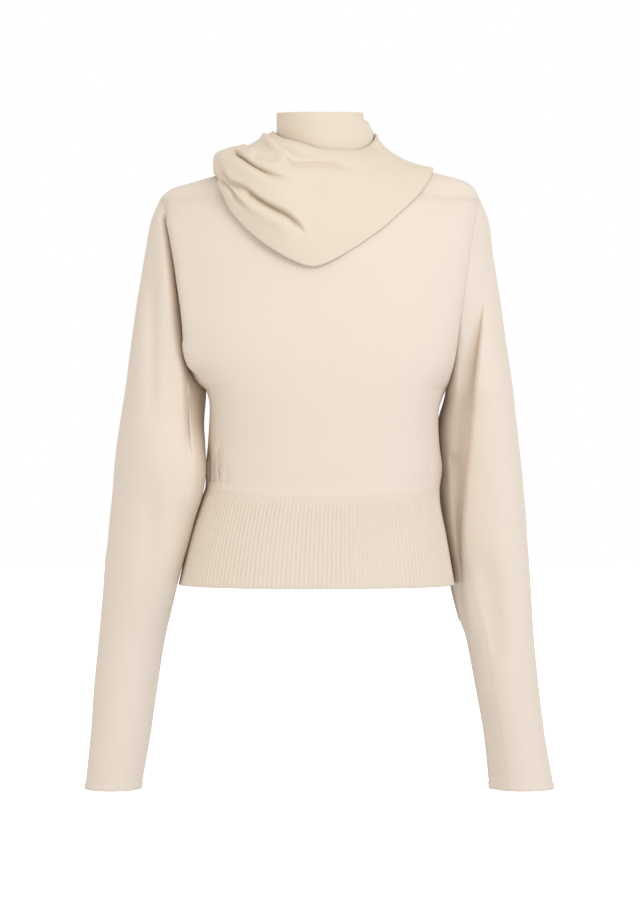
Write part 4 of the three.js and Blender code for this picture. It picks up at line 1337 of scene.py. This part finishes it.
def linear(colour: str) -> tuple[float, float, float, float]:
    """Turns an sRGB hex colour to linear red, green and blue, with an alpha of 1."""
    parts = [int(colour[i : i + 2], 16) / 255 for i in (1, 3, 5)]
    return (*(v / 12.92 if v <= 0.04045 else ((v + 0.055) / 1.055) ** 2.4 for v in parts), 1.0)


def empty_tree(owner: bpy.types.Material | bpy.types.World) -> bpy.types.NodeTree:
    """Gives a material or world an empty tree of nodes."""
    owner.use_nodes = True
    owner.node_tree.nodes.clear()
    return owner.node_tree


def add_node(
    tree: bpy.types.NodeTree, kind: str, settings: dict, links: dict | None = None
) -> bpy.types.Node:
    """Adds a node with its settings and links.

    Args:
        tree: The material's or world's nodes.
        kind: The node's type name, without its ShaderNode in front.
        settings: Values by property name, or by socket name or number.
        links: What goes to an input, by its name or number: an output socket, or a node's first one.

    Returns:
        The node.
    """
    node = tree.nodes.new(f"ShaderNode{kind}")
    for name, value in settings.items():
        if isinstance(name, str) and hasattr(node, name):
            setattr(node, name, value)
        else:
            node.inputs[name].default_value = value
    for name, source in (links or {}).items():
        output = source.outputs[0] if isinstance(source, bpy.types.Node) else source
        tree.links.new(output, node.inputs[name])
    return node


@dataclass(frozen=True)
class KnitFinish:
    """Fine wool-blend yarn, weft-knitted in columns of V-shaped stitches.

    Attributes:
        name: The material's name.
        slot: The record's material slot. Not used.
        colour: The yarn's colour on top of a stitch.
        hollow_shade: Painted shade between stitches: a darker colour where light is lost.
        tint: A slightly warmer dye lot that shows in large soft patches.
        wale: Distance between columns of stitches in millimetres.
        course: Distance between rows of stitches in millimetres.
        relief: How far the stitches stand out in millimetres.
        roughness: Matt, as the yarn's fibres scatter light.
        fuzz: Strength of the sheen of loose fibres.
        patch: Size of those patches in millimetres.
        fibre: Size of the loose fibres' grain in millimetres.
        fibre_height: How far they stand out, as a share of the stitches' relief.
        slant: How far a leg of a stitch rises over the stitch's width, in rows.
        twist: Share by which the yarn's height varies along a leg, and its mean height.
    """

    name: str
    slot: str
    colour: str
    hollow_shade: str
    tint: str
    wale: float
    course: float
    relief: float
    roughness: float = 0.92
    fuzz: float = 0.25
    patch: float = 90
    fibre: float = 0.9
    fibre_height: float = 0.35
    slant: float = 1.4
    twist: tuple[float, float] = (0.3, 0.7)

    def material(self) -> bpy.types.Material:
        """Makes the material.

        Returns:
            The material.
        """
        made = bpy.data.materials.new(self.name)
        tree = empty_tree(made)
        stitch = self._stitches(tree)
        place = add_node(tree, "TexCoord", {}).outputs["Object"]
        grain = {"Scale": 1 / (self.patch * MM), "Detail": 2.0, "Roughness": 0.4}
        patches = add_node(tree, "TexNoise", grain, {"Vector": place})
        dyes = {"data_type": "RGBA", 6: linear(self.colour), 7: linear(self.tint)}
        dye = add_node(tree, "Mix", dyes, {0: patches.outputs["Fac"]})
        # The colour between stitches is painted shade, laid between the stitch legs by the stitch mask.
        hollow_shade = {"data_type": "RGBA", 6: linear(self.hollow_shade)}
        yarn = add_node(tree, "Mix", hollow_shade, {0: stitch, 7: dye.outputs[2]})
        loose = {"Scale": 1 / (self.fibre * MM), "Detail": 3.0}
        fibres = add_node(tree, "TexNoise", loose, {"Vector": place})
        on_stitch = {"operation": "MULTIPLY_ADD", 1: self.fibre_height}
        height = add_node(tree, "Math", on_stitch, {0: fibres.outputs["Fac"], 2: stitch})
        relief = {"Strength": 0.6, "Distance": self.relief * MM}
        bump = add_node(tree, "Bump", relief, {"Height": height})
        wool = {
            "Roughness": self.roughness,
            "IOR": 1.5,
            "Specular IOR Level": 0.25,
            "Sheen Weight": self.fuzz,
            "Sheen Roughness": 0.6,
            "Sheen Tint": linear(self.colour),
        }
        shader = add_node(tree, "BsdfPrincipled", wool, {"Base Color": yarn.outputs[2], "Normal": bump})
        add_node(tree, "OutputMaterial", {}, {"Surface": shader})
        return made

    def _stitches(self, tree: bpy.types.NodeTree) -> bpy.types.Node:
        """Adds the nodes that draw the stitches, two slanted legs in each column.

        Args:
            tree: The material's nodes.

        Returns:
            The node whose output is 1 on top of a leg and 0 between legs.
        """
        full_turn = {"operation": "MULTIPLY", 1: 2 * math.pi}
        per_metre = (1 / (self.wale * MM), 1 / (self.course * MM), 0)
        knit = add_node(tree, "UVMap", {"uv_map": "knit"})
        counted = add_node(tree, "VectorMath", {"operation": "MULTIPLY", 1: per_metre}, {0: knit})
        parts = add_node(tree, "SeparateXYZ", {}, {0: counted})
        beside = add_node(tree, "Math", {"operation": "FRACT"}, {0: parts.outputs["X"]})
        centred = add_node(tree, "Math", {"operation": "SUBTRACT", 1: 0.5}, {0: beside})
        aside = add_node(tree, "Math", {"operation": "ABSOLUTE"}, {0: centred})
        across_leg = add_node(tree, "Math", full_turn, {0: aside})
        leg = add_node(tree, "Math", {"operation": "SINE"}, {0: across_leg})
        slant = {"operation": "MULTIPLY_ADD", 1: -self.slant}
        slanted = add_node(tree, "Math", slant, {0: aside, 2: parts.outputs["Y"]})
        along_leg = add_node(tree, "Math", full_turn, {0: slanted})
        wave = add_node(tree, "Math", {"operation": "SINE"}, {0: along_leg})
        twist = {"operation": "MULTIPLY_ADD", 1: self.twist[0], 2: self.twist[1]}
        lifted = add_node(tree, "Math", twist, {0: wave})
        return add_node(tree, "Math", {"operation": "MULTIPLY"}, {0: leg, 1: lifted})


# Each finish's second colour is painted shade for the gaps between stitches.
# The real wales are about 1 mm apart, finer than a pixel of the photograph, so they are drawn twice
# as wide, with little relief: from near they read as knitting, and from afar as a soft matt surface.
PLAIN_KNIT = KnitFinish(
    "Plain_knit_wool_blend", "plain_knit", "#e6d9cb", "#d6c8b8", "#e7d7c6", 2.2, 1.7, 0.22
)
RIB_KNIT = KnitFinish("Rib_knit_wool_blend", "rib_knit", "#e4d9c9", "#cfc1af", "#e4d6c3", 2.5, 1.8, 0.22)
COLLAR_KNIT = KnitFinish(
    "Brushed_collar_knit_wool_blend", "collar_knit",
    "#e3d6c4", "#d2c4b0", "#e3d5c0", 2.0, 1.6, 0.2, fuzz=0.35,
)


@dataclass(frozen=True)
class SoftBox:
    """A square studio light with a diffusing front.

    Attributes:
        name: The light's name.
        place: Where it stands, in metres.
        target: Where it points.
        side: Length of its sides in metres.
        power: Watts.
        colour: Colour of its light.
    """

    name: str
    place: tuple[float, float, float]
    target: tuple[float, float, float]
    side: float
    power: float
    colour: str = "#ffffff"

    def build(self) -> None:
        """Makes the light."""
        data = bpy.data.lights.new(self.name, "AREA")
        data.shape = "SQUARE"
        data.size = self.side
        data.energy = self.power
        data.color = linear(self.colour)[:3]
        lamp = add_object(self.name, data)
        lamp.location = self.place
        way = Vector(self.target) - Vector(self.place)
        lamp.rotation_euler = way.to_track_quat("-Z", "Y").to_euler()


@dataclass(frozen=True)
class Studio:
    """A white room with soft light, and the camera where the photograph was taken from.

    Attributes:
        camera_distance: Metres in front of the garment's middle.
        camera_height: Metres above the origin.
        picture_height: Metres that the picture spans at the garment's middle.
        film: The camera's long side in millimetres.
        floor_drop: The floor's distance below the origin.
        floor_half: Half of the floor's side.
        surround: Strength of the light from the room's white walls.
        backdrop: How bright the walls look.
        boxes: The lights.
    """

    camera_distance: float = VIEW_DISTANCE * MM
    camera_height: float = -VIEW_DROP * MM
    picture_height: float = 1.0495
    film: float = 36.0
    floor_drop: float = 1.05
    floor_half: float = 14.0
    surround: float = 0.74
    backdrop: float = 1.0
    boxes: tuple[SoftBox, ...] = (
        SoftBox("key_softbox", (1.5, -2.5, 1.2), (0, 0, -0.35), 1.4, 29),
        SoftBox("top_softbox", (0.3, -0.9, 2.2), (0, 0, -0.2), 2.0, 6),
        SoftBox("fill_softbox", (-1.8, -2.6, -0.6), (0, 0, -0.45), 1.8, 31),
        SoftBox("side_softbox", (2.4, -1.3, -0.3), (0.1, 0, -0.35), 1.4, 15, "#d8e6ff"),
    )

    def build(self) -> None:
        """Makes the room, the lights and the camera."""
        self._world()
        self._floor()
        for box in self.boxes:
            box.build()
        data = bpy.data.cameras.new("photo_camera")
        data.sensor_width = self.film
        data.lens = self.film * self.camera_distance / self.picture_height
        data.clip_end = 100
        camera = add_object("photo_camera", data)
        camera.location = (0, -self.camera_distance, self.camera_height)
        camera.rotation_euler = (math.pi / 2, 0, 0)
        bpy.context.scene.camera = camera
        bpy.context.scene.view_settings.view_transform = "Standard"

    def _world(self) -> None:
        """Makes white walls that look brighter than the light they give."""
        world = bpy.data.worlds.new("white_room")
        bpy.context.scene.world = world
        tree = empty_tree(world)
        path = add_node(tree, "LightPath", {})
        glow = {"data_type": "FLOAT", 2: self.surround, 3: self.backdrop}
        strength = add_node(tree, "Mix", glow, {0: path.outputs["Is Camera Ray"]})
        walls = add_node(tree, "Background", {"Color": linear("#ffffff")}, {"Strength": strength})
        add_node(tree, "OutputWorld", {}, {"Surface": walls})

    def _floor(self) -> None:
        """Makes the pale floor, painted matt white. The walls' light stands for what it throws back."""
        half, z = self.floor_half, -self.floor_drop
        mesh = bpy.data.meshes.new("studio_floor")
        corners = [(-half, -half, z), (half, -half, z), (half, half, z), (-half, half, z)]
        mesh.from_pydata(corners, [], [(0, 1, 2, 3)])
        floor = add_object("studio_floor", mesh)
        paint = bpy.data.materials.new("Matt_white_floor_paint")
        tree = empty_tree(paint)
        matt = {
            "Base Color": linear("#f4f4f4"),
            "Roughness": 0.9,
            "Specular IOR Level": 0.1,
            "Emission Color": linear("#ffffff"),
            "Emission Strength": 1.0,
        }
        shader = add_node(tree, "BsdfPrincipled", matt)
        add_node(tree, "OutputMaterial", {}, {"Surface": shader})
        mesh.materials.append(paint)
        floor.visible_diffuse = False


@dataclass(frozen=True)
class Cut:
    """One sheet's flat cut.

    Attributes:
        width: Width of the rectangle that it is cut from, in metres.
        length: Its length in metres.
        area: The cut's own area in square metres.
        held: How the cloth is held.
        rests_on: What it is sewn to or lies on.
    """

    width: float
    length: float
    area: float
    held: str
    rests_on: tuple[str, ...]


def cloth_area(made: bpy.types.Object) -> float:
    """Area of one side of a sheet in square metres, which is half of its wall's."""
    return sum(face.area for face in made.data.polygons) / 2


def main() -> None:
    logging.basicConfig(level=logging.INFO, format="%(name)s: %(message)s")
    tube = NeckTube()
    for maker, finish in (
        (Shell(), PLAIN_KNIT),
        (Waistband(), RIB_KNIT),
        (tube, COLLAR_KNIT),
        (Cowl(tube), COLLAR_KNIT),
    ):
        material = bpy.data.materials.get(finish.name) or finish.material()
        for node, piece in maker.build().items():
            piece.data.materials.append(material)
            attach(piece, "root")
            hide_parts(node)
            faces = len(piece.data.polygons)
            log.info("%s: %d faces, %.4f m2 of cloth", piece.name, faces, cloth_area(piece))
    Studio().build()
    bpy.context.view_layer.update()


if __name__ == "__main__":
    main()
